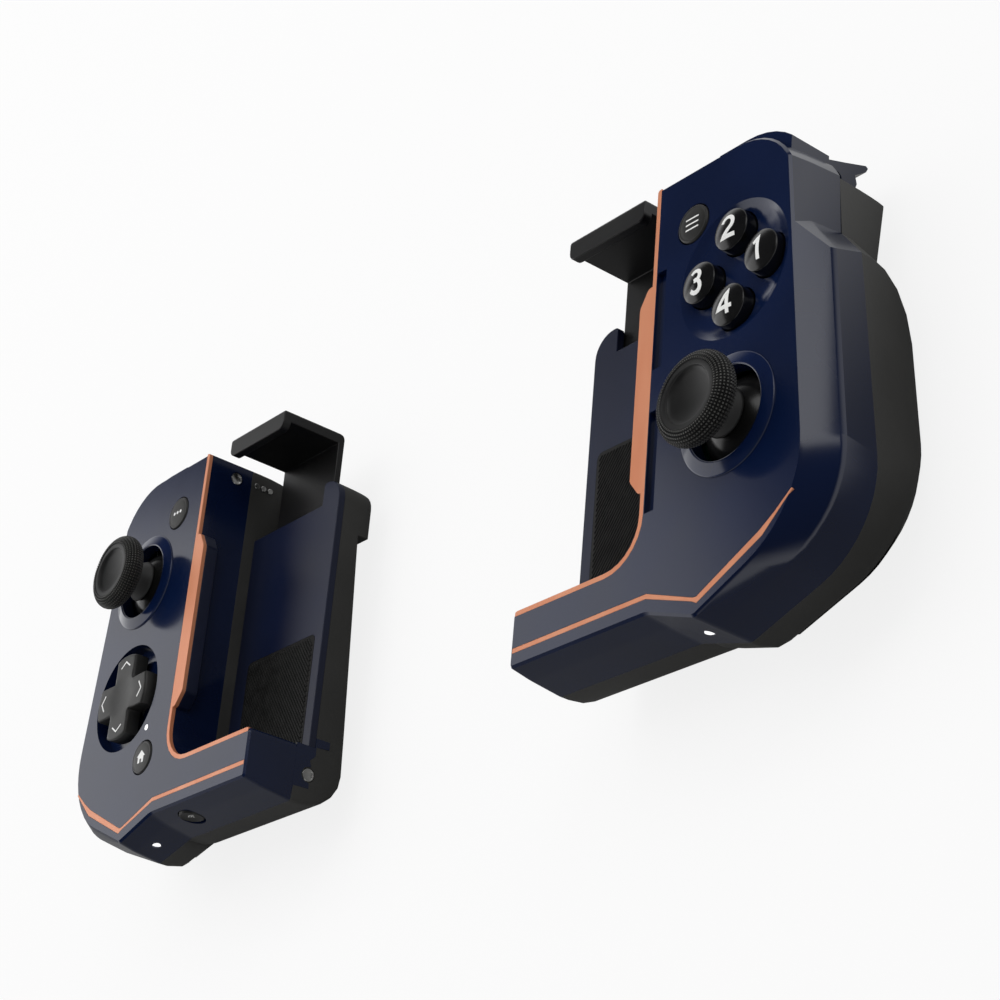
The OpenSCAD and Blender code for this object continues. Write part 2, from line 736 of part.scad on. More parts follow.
module main_board(right) {
  c = stick_c(right);
  color("#1f4d3a") half(right) difference() {
    block([in_x + 3.3, control_x + board_reach], [heel_y + 5.9, top_y - 12.5], [board_z - board_t, board_z]);
    rod_z([c[0], c[1], -far], 12.5, far);
    if (!right) {
      block([lower_c[0] - 8.5, lower_c[0] + 8.5], [lower_c[1] - 4.8, lower_c[1] + 4.8], [-far, 0]);
    }
  }
}

// Rubber switch sheet that lies on the board under the buttons
module button_pad(right) {
  z = [board_z, board_z + pad_t];
  color("#8c8f94") half(right) {
    if (right) {
      block([small_x - 4, control_x + 7], [upper_c[1] - 13, top_y - 13], z);
    } else {
      difference() {
        block([small_x - 4, control_x + 4], [small_low[1], lower_c[1] + 12.8], z);
        block([lower_c[0] - 8.5, lower_c[0] + 8.5], [lower_c[1] - 4.8, lower_c[1] + 4.8], [-far, 0]);
      }
      block([small_x - 4, small_x - 1.2], [lower_c[1] + 12.7, top_y - 13], z);
    }
  }
}

module battery(right) {
  c = right ? upper_c : lower_c;
  color("#c9ccd1") half(right)
    block([c[0] - 11, c[0] + body_w * 0.23], [c[1] - 12.5, c[1] + 12.5], [floor_z, floor_z + 6]);
}

// Shoulder button that follows the upper outer corner
module bumper(right) {
  h = bumper_hinge;
  z = [-seam_d + slip, -wall - slip];
  color(navy) half(right) difference() {
    union() {
      intersection() {
        difference() {
          slab(outline(shrink_all(body(0), -bumper_out)), z[0], z[1]);
          slab(outline(shrink_all(body(0), wall + 0.4)), z[0] - 1, z[1] + 1);
        }
        block([bumper_x0, bumper_x1], [top_y - 8, far], [-far, far]);
      }
      rod_z([h[0], h[1], z[0] + 0.5], pin_r + 1.1, 8);
      block([h[0], bumper_x0 + 2], [h[1] - 1, h[1] + 2.4], [z[0] + 0.5, z[0] + 8.5]);
      block([bumper_x0, bumper_x0 + 2], [h[1] + 2, top_y - 1], [z[0] + 0.5, z[0] + 8.5]);
    }
    rod_z([h[0], h[1], -far], pin_r + run, far);
  }
}

// Trigger lever behind the bumper
module trigger(right) {
  h = trigger_hinge;
  blade = [
    [h[0] - 1.4, h[1] + 2.5], [h[0] + 2.8, h[1] + 2.5], [h[0] + 4.4, h[1] - 2.4], [h[0] + 6.3, h[1] - 7.8],
    [h[0] + 5.9, h[1] - 8.4], [h[0] + 4.9, h[1] - 7.9], [h[0] + 2.75, h[1] - 4.9], [h[0] + 0.9, h[1] - 5.4],
    [h[0] - 1.4, h[1] - 4.6]];
  color(navy) half(right) difference() {
    intersection() {
      translate([trigger_x0, 0, 0]) rotate([90, 0, 90]) linear_extrude(trigger_x1 - trigger_x0) polygon(blade);
      slab(outline(shrink_all(body(2), -4.5)), -far, 0);
    }
    rod_x([trigger_x0 - 1, h[0], h[1]], pin_r + run, trigger_x1 - trigger_x0 + 2);
    block([lug_x0 - slip, lug_x0 + lug_w + slip], [-far, h[0] + 2.3], [-far, 0]);
  }
}

module trigger_pin(right) {
  x0 = trigger_x0 - slip - wall + 0.4;
  color(steel) half(right)
    rod_x([x0, trigger_hinge[0], trigger_hinge[1]], pin_r, lug_x0 + lug_w - x0);
}

module magnets(right) {
  color(steel) half(right) {
    rod_x([in_x, magnet_top[0], magnet_top[1]], magnet_r, magnet_t);
    rod_x([dock_x, magnet_foot[0], magnet_foot[1]], magnet_r, magnet_t);
  }
}

// Sprung pins on the left half and the flat pads that they meet on the right
module contacts(right) {
  proud = right ? 0 : 0.4;
  color("#d8b25a") half(right) for (i = [0:2]) {
    rod_x([in_x - proud, magnet_top[0], contact_z0 - contact_step * i], contact_r, wall + 0.6 + proud);
  }
}

module light_pipes(right) {
  color("white") half(right) {
    rod_y([lamp_low[0], v_y + 0.8, lamp_low[1]], lamp_r, 5);
    if (!right) {
      rod_z([lamp_front[0], lamp_front[1], -recess_floor], lamp_r * 0.7, recess_floor);
    }
  }
}

module screws(right) {
  color(steel) half(right) for (p = screw_at) {
    rod_z([p[0], p[1], screw_seat_z], screw_r, screw_len);
    rod_z([p[0], p[1], screw_seat_z - 1.6], screw_head_r, 1.6);
  }
}

// Round button under a skin of the given thickness: cap, flange and stem
module push_button(r, skin, rise, crown) {
  rotate_extrude($fn = 64) polygon([
    [0, stem_z], [2, stem_z], [2, -skin - flange_t], [r + flange_w, -skin - flange_t], [r + flange_w, -skin],
    [r, -skin], [r, rise - 0.4], [r - 0.4, rise], [r * 0.55, rise + crown * 0.75], [0, rise + crown]]);
}

module small_button(at, right) {
  color(black) half(right) translate([at[0], at[1], 0]) push_button(small_r, wall, 0.3, 0.1);
}

module view_button() { small_button(small_up, false); }
module home_button() { small_button(small_low, false); }
module menu_button() { small_button(small_up, true); }

module action_button(i) {
  color(black) half(true) translate(concat(action_at(i), 0)) push_button(action_r, deep_skin, 1.1, 1);
}

// Pairing button in the underside of the foot
module pair_button() {
  y0 = sole_y - 1.2;
  y1 = sole_y + wall;
  color(black) half(false) {
    rod_y([pair_at[0], y0, pair_at[1]], pair_r, y1 - y0 + eps);
    rod_y([pair_at[0], y1, pair_at[1]], pair_r + flange_w, flange_t);
  }
}

// Four-way pad on a universal joint
module direction_pad() {
  color(black) half(false) translate([lower_c[0], lower_c[1], 0]) difference() {
    union() {
      intersection() {
        union() {
          block([-pad_arm, pad_arm], [-far, far], [-1.6, pad_rise]);
          block([-far, far], [-pad_arm, pad_arm], [-1.6, pad_rise]);
        }
        rod_z([0, 0, -2], pad_reach, pad_rise + 3);
      }
      rod_z([0, 0, -6.8], 3.6, 6);
      for (side = [-1, 1]) {
        block([-2.6, 2.6], [side * 2.95 - 0.65, side * 2.95 + 0.65], [-10.2, -6.7]);
      }
    }
    translate([0, 0, pad_rise + 30.6]) sphere(r = 31, $fn = 96);
    rod_y([0, -far, -8.6], 1.1 + run, 2 * far);
  }
}

// Cross of the pad's universal joint
module direction_spider() {
  color(steel) half(false) translate([lower_c[0], lower_c[1], -8.6]) union() {
    block([-2.1, 2.1], [-2.1, 2.1], [-1.5, 1.5]);
    rod_x([-7.2, 0, 0], 1.1, 14.4);
    rod_y([0, -3.5, 0], 1.1, 7);
  }
}

module usb_port() {
  x0 = control_x + 7.7;
  length = side_x(usb_y) - 0.5 - x0;
  color(steel) half(false) difference() {
    usb_plan(usb_w, usb_h, x0, length);
    usb_plan(usb_w - 0.7, usb_h - 0.7, x0 + 2, length);
  }
}

front_shell(false);  // left_front_shell
front_shell(true);  // right_front_shell
back_cover(false);  // left_back_cover
back_cover(true);  // right_back_cover
phone_bed(false);  // left_phone_bed
phone_bed(true);  // right_phone_bed
phone_tab(false);  // left_tab
phone_tab(true);  // right_tab
edge_trim(false);  // left_edge_trim
edge_trim(true);  // right_edge_trim
accent_line(false);  // left_accent_line
accent_line(true);  // right_accent_line
phone_pad(false);  // left_phone_pad
phone_pad(true);  // right_phone_pad
clamp(false);  // left_clamp
clamp(true);  // right_clamp
clamp_spring(false);  // left_clamp_spring
clamp_spring(true);  // right_clamp_spring
stick_collar(false);  // left_stick_collar
stick_collar(true);  // right_stick_collar
thumbstick(false);  // left_thumbstick
thumbstick(true);  // right_thumbstick
stick_rocker(false);  // left_stick_rocker
stick_rocker(true);  // right_stick_rocker
stick_yoke(false);  // left_stick_yoke
stick_yoke(true);  // right_stick_yoke
stick_module(false);  // left_stick_module
stick_module(true);  // right_stick_module
main_board(false);  // left_main_board
main_board(true);  // right_main_board
button_pad(false);  // left_button_pad
button_pad(true);  // right_button_pad
battery(false);  // left_battery
battery(true);  // right_battery
bumper(false);  // left_bumper
bumper(true);  // right_bumper
trigger(false);  // left_trigger
trigger(true);  // right_trigger
trigger_pin(false);  // left_trigger_pin
trigger_pin(true);  // right_trigger_pin
magnets(false);  // left_magnets
magnets(true);  // right_magnets
contacts(false);  // left_contacts
contacts(true);  // right_contacts
light_pipes(false);  // left_light_pipes
light_pipes(true);  // right_light_pipes
screws(false);  // left_screws
screws(true);  // right_screws
view_button();
home_button();
pair_button();
direction_pad();
direction_spider();
usb_port();
menu_button();
action_button(0);  // action_button_1
action_button(1);  // action_button_2
action_button(2);  // action_button_3
action_button(3);  // action_button_4
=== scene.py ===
"""Looks of a two-part game controller that clamps round a phone: meshes, finishes, light and camera."""

import logging
import math
from collections.abc import Callable, Sequence
from dataclasses import dataclass, field
from enum import Enum

import bpy
from mathutils import Matrix, Vector


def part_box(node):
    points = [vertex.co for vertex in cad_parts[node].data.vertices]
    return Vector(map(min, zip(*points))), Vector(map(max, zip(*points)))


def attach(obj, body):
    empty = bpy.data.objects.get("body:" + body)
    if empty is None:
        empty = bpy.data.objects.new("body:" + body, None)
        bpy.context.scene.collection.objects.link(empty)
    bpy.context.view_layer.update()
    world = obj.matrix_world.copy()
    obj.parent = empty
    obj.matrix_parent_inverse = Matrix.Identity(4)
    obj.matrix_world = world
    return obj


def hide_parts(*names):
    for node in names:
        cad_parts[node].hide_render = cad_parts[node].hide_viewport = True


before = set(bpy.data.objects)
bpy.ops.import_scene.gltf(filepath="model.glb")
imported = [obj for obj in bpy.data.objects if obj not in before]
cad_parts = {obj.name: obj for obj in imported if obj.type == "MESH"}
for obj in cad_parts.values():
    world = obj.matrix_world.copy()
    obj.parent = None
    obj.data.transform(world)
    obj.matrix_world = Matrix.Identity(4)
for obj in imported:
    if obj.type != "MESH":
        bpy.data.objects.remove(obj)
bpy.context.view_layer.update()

Point2 = tuple[float, float]
Point3 = tuple[float, float, float]
Colour = tuple[float, float, float, float]
Height = Callable[[float, float], float]

LOG = logging.getLogger("controller")
MM = 0.001
WHITE: Colour = (1.0, 1.0, 1.0, 1.0)
# Angles in degrees: the sharpest bend that is shaded smooth, and the bend that still counts as flat.
SMOOTH_ANGLE = 32.0
FLAT_ANGLE = 0.4
# Points of a solid that are nearer than this are joined, in millimetres.
JOIN_REACH = 0.002
# Share of the slow pattern where a finish's first tone ends and its second begins.
TONE_SPAN: Point2 = (0.35, 0.7)


class Side(Enum):
    """The two halves, with the sign that mirrors the right one's sizes."""

    LEFT = -1
    RIGHT = 1

    @property
    def label(self) -> str:
        """Prefix of this half's names."""
        return self.name.lower()

    @property
    def body(self) -> str:
        """Body that this half's fixed pieces ride on."""
        return f"{self.label}_half"

    def node(self, piece: str) -> str:
        """Name of one of this half's nodes."""
        return f"{self.label}_{piece}"


class Edge(Enum):
    """How far the arrises of a solid are eased, in millimetres."""

    CRISP = 0.12
    EASED = 0.3
    SOFT = 0.8


# Colour and nodes


def hex_linear(code: str) -> Colour:
    """Turns an sRGB hex colour into linear light.

    Args:
        code: six hex digits after a hash.

    Returns:
        Red, green, blue and an alpha of 1.
    """
    parts = [int(code[i : i + 2], 16) / 255 for i in (1, 3, 5)]
    red, green, blue = (v / 12.92 if v <= 0.04045 else ((v + 0.055) / 1.055) ** 2.4 for v in parts)
    return red, green, blue, 1.0


def add_node(
    tree: bpy.types.NodeTree,
    kind: str,
    settings: dict[str | int, object] | None = None,
    links: dict[str | int, bpy.types.NodeSocket] | None = None,
) -> bpy.types.Node:
    """Adds a node with its settings and its links.

    Args:
        tree: node tree that takes the node.
        kind: Blender's name for the node's type.
        settings: values by the name or number of an input, or by an attribute's name.
        links: output sockets by the name or number of the input that they feed.

    Returns:
        The new node.
    """
    node = tree.nodes.new(kind)
    for key, value in (settings or {}).items():
        if isinstance(key, int) or key in node.inputs:
            node.inputs[key].default_value = value
        else:
            setattr(node, key, value)
    for key, socket in (links or {}).items():
        tree.links.new(socket, node.inputs[key])
    return node


def empty_tree(owner: bpy.types.Material | bpy.types.World) -> bpy.types.NodeTree:
    """Switches on the nodes of a material or a world, and clears them."""
    owner.use_nodes = True
    owner.node_tree.nodes.clear()
    return owner.node_tree


@dataclass(frozen=True)
class Finish:
    """A surface, from what it is made of and how it was made.

    The colour wanders slowly between two tones, the roughness wanders with it, and a fine relief
    catches the light. The patches' and the grain's sizes and the relief's height are in millimetres.
    """

    name: str
    colour: str
    tone: str
    roughness: float
    wander: float
    patch: float
    grain: float
    relief: float
    ior: float = 1.5
    metallic: float = 0.0
    stretch: Point3 = (1.0, 1.0, 1.0)
    detail: float = 3.0
    glow: float = 0.0

    def material(self) -> bpy.types.Material:
        """Makes the material, or finds it where it was made before.

        Returns:
            The node material of this finish.
        """
        made = bpy.data.materials.get(self.name)
        if made:
            return made
        made = bpy.data.materials.new(self.name)
        tree = empty_tree(made)
        place = add_node(tree, "ShaderNodeTexCoord")
        along = add_node(
            tree, "ShaderNodeMapping", {"Scale": self.stretch}, {"Vector": place.outputs["Object"]}
        )
        vector = along.outputs["Vector"]
        slow = add_node(
            tree, "ShaderNodeTexNoise", {"Scale": 1 / (self.patch * MM), "Detail": 2.0}, {"Vector": vector}
        )
        fine = add_node(
            tree,
            "ShaderNodeTexNoise",
            {"Scale": 1 / (self.grain * MM), "Detail": self.detail, "Roughness": 0.6},
            {"Vector": vector},
        )
        tones = add_node(tree, "ShaderNodeValToRGB", {}, {"Fac": slow.outputs["Fac"]})
        for end, position, code in zip(tones.color_ramp.elements, TONE_SPAN, (self.colour, self.tone)):
            end.position, end.color = position, hex_linear(code)
        rough = add_node(
            tree,
            "ShaderNodeMapRange",
            {"To Min": self.roughness - self.wander, "To Max": self.roughness + self.wander},
            {"Value": slow.outputs["Fac"]},
        )
        bump = add_node(
            tree,
            "ShaderNodeBump",
            {"Strength": 1.0, "Distance": self.relief * MM},
            {"Height": fine.outputs["Fac"]},
        )
        settings: dict[str | int, object] = {"Metallic": self.metallic}
        if not self.metallic:
            settings["IOR"] = self.ior
        if self.glow:
            settings["Emission Color"] = hex_linear(self.tone)
            settings["Emission Strength"] = self.glow
        shader = add_node(
            tree,
            "ShaderNodeBsdfPrincipled",
            settings,
            {
                "Base Color": tones.outputs["Color"],
                "Roughness": rough.outputs["Result"],
                "Normal": bump.outputs["Normal"],
            },
        )
        add_node(tree, "ShaderNodeOutputMaterial", {}, {"Surface": shader.outputs["BSDF"]})
        return made


# Gloss ABS out of a polished mould: deep navy under a clear, slightly wavy gloss.
NAVY_ABS = Finish(
    "polished_mould_abs_navy", "#0a1735", "#0c1b3d", 0.16, 0.03, 22.0, 2.2, 0.0016, ior=1.53
)
# The same gloss ABS on the stick rings, a little smoother from its own mould.
COLLAR_ABS = Finish(
    "polished_mould_abs_collar", "#0a1838", "#0d1d42", 0.12, 0.02, 9.0, 1.8, 0.0012, ior=1.53
)
# Navy ABS where the phone lies, from a finely blasted mould: the same blue with a broad soft sheen.
SATIN_NAVY_ABS = Finish(
    "satin_mould_abs_navy", "#07112c", "#091533", 0.38, 0.04, 18.0, 0.8, 0.004, ior=1.53
)
# ABS from a spark-eroded mould: charcoal with an even fine grain that breaks up its sheen.
# The real grain is near 0.1 mm and is drawn at 0.45 mm, so that it shows.
CHARCOAL_ABS = Finish(
    "spark_eroded_abs_charcoal", "#323230", "#3a3a38", 0.5, 0.06, 14.0, 0.45, 0.016, ior=1.53, detail=2.0
)
# Copper-toned metallic paint on a moulded inlay: warm peach with a fine streak along its length.
COPPER_PAINT = Finish(
    "sprayed_copper_metallic_paint", "#dc8b64", "#e59b76", 0.38, 0.05, 7.0, 0.5, 0.002,
    metallic=0.25, stretch=(1.0, 0.25, 1.0),
)
# Satin black ABS of the clamps: a soft broad sheen, with hardly any grain.
SATIN_ABS = Finish(
    "satin_mould_abs_black", "#0d0d0e", "#131313", 0.4, 0.05, 10.0, 0.35, 0.006, ior=1.53
)
# Polished black ABS of the tall buttons: tight highlights over a nearly black body.
GLOSS_BLACK_ABS = Finish(
    "polished_mould_abs_black", "#0d0d0e", "#131313", 0.2, 0.03, 5.0, 0.8, 0.0012, ior=1.53
)
# Fine-grained black ABS of the small buttons and the pad: a dusty, even dark grey.
GRAINED_BLACK_ABS = Finish(
    "grained_mould_abs_black", "#1d1d1c", "#262624", 0.46, 0.05, 5.0, 0.3, 0.012, ior=1.53, detail=2.0
)
# Thermoplastic rubber of the stick caps: deep matt black with a faint bloom.
STICK_RUBBER = Finish(
    "moulded_tpe_rubber_black", "#141414", "#1e1e1d", 0.48, 0.07, 4.0, 0.25, 0.008, ior=1.51
)
# The flat tips of the cap's studs: the same rubber, a little smoother, with a paler colour that is a painted
# highlight on each tip.
# The real studs are near 0.4 mm apart and are drawn at 0.7 mm, so that they show.
STUD_TIP_HIGHLIGHT_RUBBER = Finish(
    "rubbed_tpe_rubber_black", "#454542", "#52524e", 0.42, 0.06, 4.0, 0.25, 0.006, ior=1.51
)
# Acetal dust dome below the stick cap: slippery black with a broad bright highlight.
DOME_ACETAL = Finish(
    "moulded_acetal_black", "#131313", "#1a1a19", 0.24, 0.04, 6.0, 0.6, 0.003, ior=1.48
)
# Silicone pad behind the phone: matt black, a little dusty in the grooves.
PAD_SILICONE = Finish(
    "pressed_silicone_black", "#161615", "#20201f", 0.6, 0.06, 3.0, 0.2, 0.01, ior=1.41
)
# Screen-printed ink of the legends: flat white with a slightly rough film.
WHITE_INK = Finish(
    "screen_printed_ink_white", "#eeeeec", "#f6f6f4", 0.45, 0.05, 1.5, 0.2, 0.002, ior=1.5
)
# Diffusing acrylic light guides with the lamps lit: an even white glow.
LAMP_ACRYLIC = Finish(
    "moulded_acrylic_diffuser", "#e9ecef", "#ffffff", 0.2, 0.03, 1.0, 0.3, 0.001, ior=1.49, glow=0.9
)
# Nickel plating over magnets: pale, bright and very faintly pitted.
NICKEL = Finish(
    "plated_nickel", "#b3b3b1", "#c4c4c2", 0.24, 0.06, 1.2, 0.15, 0.003, metallic=1.0
)
# Zinc-plated steel of screws, springs and pins: a greyer metal with a drawn streak.
ZINC_STEEL = Finish(
    "zinc_plated_steel", "#8d9095", "#a4a7ab", 0.34, 0.08, 1.5, 0.12, 0.004, metallic=1.0,
    stretch=(1.0, 1.0, 0.3),
)
# Hard gold over the contact pins: warm, smooth metal.
GOLD_PLATE = Finish(
    "hard_gold_plate", "#c9a04a", "#d8b25e", 0.22, 0.04, 0.8, 0.1, 0.001, metallic=1.0
)
# Natural acetal of the gimbal parts: milky off-white with a waxy sheen.
NATURAL_ACETAL = Finish(
    "moulded_acetal_natural", "#b9b8b2", "#c6c5bf", 0.35, 0.05, 5.0, 0.4, 0.004, ior=1.48
)
# Green solder mask over a glass-fibre board: a weave shows faintly below the lacquer.
SOLDER_MASK = Finish(
    "solder_mask_green", "#12462f", "#185639", 0.3, 0.05, 2.0, 0.6, 0.01, ior=1.55
)
# Grey silicone switch sheet: soft and dull.
SWITCH_SILICONE = Finish(
    "pressed_silicone_grey", "#7f8287", "#8c8f94", 0.6, 0.05, 4.0, 0.4, 0.008, ior=1.41
)
# Aluminium foil pouch of the cell: dull silver with small creases.
POUCH_FOIL = Finish(
    "creased_aluminium_foil", "#a9abae", "#bcbec1", 0.38, 0.08, 5.0, 2.5, 0.05, metallic=1.0
)


# Meshes


@dataclass
class Draft:
    """A mesh in the making, in millimetres round its own origin."""

    points: list[Point3] = field(default_factory=list)
    faces: list[tuple[int, ...]] = field(default_factory=list)
    bright: set[int] = field(default_factory=set)

    def loft(
        self,
        rings: Sequence[Sequence[Point3]],
        low: Point3 | None = None,
        high: Point3 | None = None,
    ) -> "Draft":
        """Adds a closed skin through rings of equal length, from the lowest to the highest.

        Args:
            rings: outlines that turn left when seen from above.
            low: point that the lower end closes on, or None for one flat face.
            high: point that the upper end closes on, or None for one flat face.

        Returns:
            This draft.
        """
        start, count = len(self.points), len(rings[0])
        for ring in rings:
            self.points.extend(ring)
        for k in range(len(rings) - 1):
            for i in range(count):
                a, b = start + k * count + i, start + k * count + (i + 1) % count
                self.faces.append((a, b, b + count, a + count))
        top = start + (len(rings) - 1) * count
        self._close([start + i for i in reversed(range(count))], low)
        self._close([top + i for i in range(count)], high)
        return self

    def _close(self, loop: list[int], tip: Point3 | None) -> None:
        """Closes a loop with one face, or with a fan on a tip."""
        if tip is None:
            self.faces.append(tuple(loop))
            return
        self.points.append(tip)
        end = len(self.points) - 1
        self.faces.extend((loop[i], loop[(i + 1) % len(loop)], end) for i in range(len(loop)))

    def lathe(self, profile: Sequence[Point2], steps: int) -> "Draft":
        """Adds a solid that is turned about the draft's upright axis.

        Args:
            profile: radius and height from the lowest point to the highest, on the axis at both ends.
            steps: number of sides.

        Returns:
            This draft.
        """
        rings = [[(r * c, r * s, z) for c, s in circle(steps)] for r, z in profile[1:-1]]
        return self.loft(rings, (0.0, 0.0, profile[0][1]), (0.0, 0.0, profile[-1][1]))

    def film(self, outline: Sequence[Point2], height: Height, thick: float) -> None:
        """Adds a thin flat shape that lies on a surface.

        Args:
            outline: corners that turn left.
            height: height of the surface at a place.
            thick: how far the film stands above the surface.
        """
        low = [(x, y, height(x, y) - thick) for x, y in outline]
        high = [(x, y, height(x, y) + thick) for x, y in outline]
        self.loft([low, high])

    def stroke(self, path: Sequence[Point2], width: float, height: Height, thick: float) -> None:
        """Adds a printed line that lies on a surface.

        Args:
            path: points along the middle of the line.
            width: width of the line.
            height: height of the surface at a place.
            thick: how far the line stands above the surface.
        """
        left, right = [], []
        for i, here in enumerate(path):
            before = Vector(here) - Vector(path[max(i - 1, 0)])
            after = Vector(path[min(i + 1, len(path) - 1)]) - Vector(here)
            before = before if i else after
            after = after if i < len(path) - 1 else before
            turn = before.normalized() + after.normalized()
            side = Vector((-turn.y, turn.x)).normalized()
            straight = Vector((-before.y, before.x)).normalized()
            reach = width / 2 / max(side.dot(straight), 0.5)
            left.append(Vector(here) + side * reach)
            right.append(Vector(here) - side * reach)
        start, count = len(self.points), len(path)
        for line, lift in ((left, thick), (right, thick), (left, -thick), (right, -thick)):
            self.points.extend((p.x, p.y, height(p.x, p.y) + lift) for p in line)
        a, b, c, d = (start + k * count for k in range(4))
        for i in range(count - 1):
            j = i + 1
            self.faces.extend(
                [
                    (b + i, b + j, a + j, a + i),
                    (c + i, c + j, d + j, d + i),
                    (a + i, a + j, c + j, c + i),
                    (d + i, d + j, b + j, b + i),
                ]
            )
        e = count - 1
        self.faces.extend([(a, c, d, b), (a + e, b + e, d + e, c + e)])

    def join(self, other: "Draft", at: Vector) -> None:
        """Adds another draft, moved to a place."""
        start = len(self.points)
        self.points.extend(tuple(Vector(p) + at) for p in other.points)
        self.faces.extend(tuple(start + i for i in face) for face in other.faces)

    def turned(self, turn: Matrix) -> "Draft":
        """Returns a copy turned about the draft's origin."""
        return Draft([tuple(turn @ Vector(p)) for p in self.points], list(self.faces))


def circle(steps: int) -> list[Point2]:
    """Cosine and sine of evenly spaced angles."""
    return [(math.cos(2 * math.pi * i / steps), math.sin(2 * math.pi * i / steps)) for i in range(steps)]


def rounded(corners: Sequence[Point3], steps: int = 5) -> list[Point2]:
    """Rounds the corners of an outline.

    Args:
        corners: place and radius of each corner, turning left.
        steps: number of short edges in each round corner.

    Returns:
        The points of the outline.
    """
    points: list[Point2] = []
    count = len(corners)
    for i, (x, y, radius) in enumerate(corners):
        here = Vector((x, y))
        back = (Vector(corners[i - 1][:2]) - here).normalized()
        ahead = (Vector(corners[(i + 1) % count][:2]) - here).normalized()
        half = back.angle(ahead) / 2
        if radius <= 0 or half > math.radians(89.5):
            points.append((x, y))
            continue
        middle = here + (back + ahead).normalized() * radius / math.sin(half)
        first = here + back * radius / math.tan(half) - middle
        last = here + ahead * radius / math.tan(half) - middle
        sweep = first.angle_signed(last)
        for k in range(steps + 1):
            angle = -sweep * k / steps
            c, s = math.cos(angle), math.sin(angle)
            points.append((middle.x + first.x * c - first.y * s, middle.y + first.x * s + first.y * c))
    return points


def rectangle(x0: float, y0: float, x1: float, y1: float, radius: float) -> list[Point3]:
    """Corners of an upright rectangle for rounded()."""
    return [(x0, y0, radius), (x1, y0, radius), (x1, y1, radius), (x0, y1, radius)]


def arc(radius: float, start: float, end: float, steps: int, centre: Point2 = (0.0, 0.0)) -> list[Point2]:
    """Points along an arc between two angles in degrees."""
    angles = [math.radians(start + (end - start) * i / steps) for i in range(steps + 1)]
    return [(centre[0] + radius * math.cos(a), centre[1] + radius * math.sin(a)) for a in angles]


def split(path: Sequence[Point2], step: float) -> list[Point2]:
    """Adds points to a path, so that it can follow a curved surface.

    Args:
        path: corners of the path.
        step: longest piece between two points.

    Returns:
        The path with the added points.
    """
    points = [tuple(path[0])]
    for a, b in zip(path, path[1:]):
        count = max(1, math.ceil(math.dist(a, b) / step))
        for k in range(1, count + 1):
            points.append((a[0] + (b[0] - a[0]) * k / count, a[1] + (b[1] - a[1]) * k / count))
    return points


def spun(points: Sequence[Point2], angle: float) -> list[Point2]:
    """Points turned about the origin by an angle in radians."""
    c, s = math.cos(angle), math.sin(angle)
    return [(x * c - y * s, x * s + y * c) for x, y in points]


def smoothing_group(angle: float) -> bpy.types.NodeTree:
    """Node group that joins a solid's faces and shades it smooth below an angle.

    Args:
        angle: sharpest angle that is still shaded smooth, in degrees.

    Returns:
        The geometry node group.
    """
    name = f"joined_and_smooth_{angle:.0f}"
    made = bpy.data.node_groups.get(name)
    if made:
        return made
    tree = bpy.data.node_groups.new(name, "GeometryNodeTree")
    for way in ("INPUT", "OUTPUT"):
        tree.interface.new_socket("Geometry", in_out=way, socket_type="NodeSocketGeometry")
    start = add_node(tree, "NodeGroupInput")
    joined = add_node(
        tree, "GeometryNodeMergeByDistance", {"Distance": JOIN_REACH * MM}, {"Geometry": start.outputs[0]}
    )
    bare = add_node(
        tree, "GeometryNodeRemoveAttribute", {"Name": "custom_normal"}, {"Geometry": joined.outputs[0]}
    )
    bend = add_node(tree, "GeometryNodeInputMeshEdgeAngle")
    soft = add_node(
        tree,
        "FunctionNodeCompare",
        {"operation": "LESS_EQUAL", 1: math.radians(angle)},
        {0: bend.outputs["Unsigned Angle"]},
    )
    faces = add_node(
        tree,
        "GeometryNodeSetShadeSmooth",
        {"domain": "FACE", "Shade Smooth": True},
        {"Geometry": bare.outputs[0]},
    )
    edges = add_node(
        tree,
        "GeometryNodeSetShadeSmooth",
        {"domain": "EDGE"},
        {"Geometry": faces.outputs[0], "Shade Smooth": soft.outputs[0]},
    )
    add_node(tree, "NodeGroupOutput", {}, {"Geometry": edges.outputs[0]})
    return tree


def ease(obj: bpy.types.Object, edge: Edge, angle: float = SMOOTH_ANGLE) -> None:
    """Shades a solid smooth and eases its sharp edges with modifiers.

    Args:
        obj: object that gets the modifiers.
        edge: how far the edges are eased.
        angle: sharpest angle that counts as smooth, in degrees.
    """
    joined = obj.modifiers.new("joined_and_smooth", "NODES")
    joined.node_group = smoothing_group(angle)
    flat = obj.modifiers.new("one_face_per_plane", "DECIMATE")
    flat.decimate_type = "DISSOLVE"
    flat.angle_limit = math.radians(FLAT_ANGLE)
    bevel = obj.modifiers.new("eased_edges", "BEVEL")
    bevel.width = edge.value * MM
    bevel.segments = 2
    bevel.limit_method = "ANGLE"
    bevel.angle_limit = math.radians(angle)
    even = obj.modifiers.new("even_shading", "WEIGHTED_NORMAL")
    even.keep_sharp = True


def dress(node: str, finish: Finish, edge: Edge | None = None, angle: float = SMOOTH_ANGLE) -> None:
    """Gives a CAD node its finish.

    Args:
        node: name of the node.
        finish: surface that it gets.
        edge: how far its edges are eased, or None where the solid is right as it is.
        angle: sharpest angle that counts as smooth, in degrees.
    """
    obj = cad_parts[node]
    obj.data.materials.clear()
    obj.data.materials.append(finish.material())
    if edge:
        ease(obj, edge, angle)
    LOG.info("%s: %s", node, finish.name)


def add_object(name: str, data: bpy.types.ID) -> bpy.types.Object:
    """Adds an object to the scene."""
    obj = bpy.data.objects.new(name, data)
    bpy.context.scene.collection.objects.link(obj)
    return obj


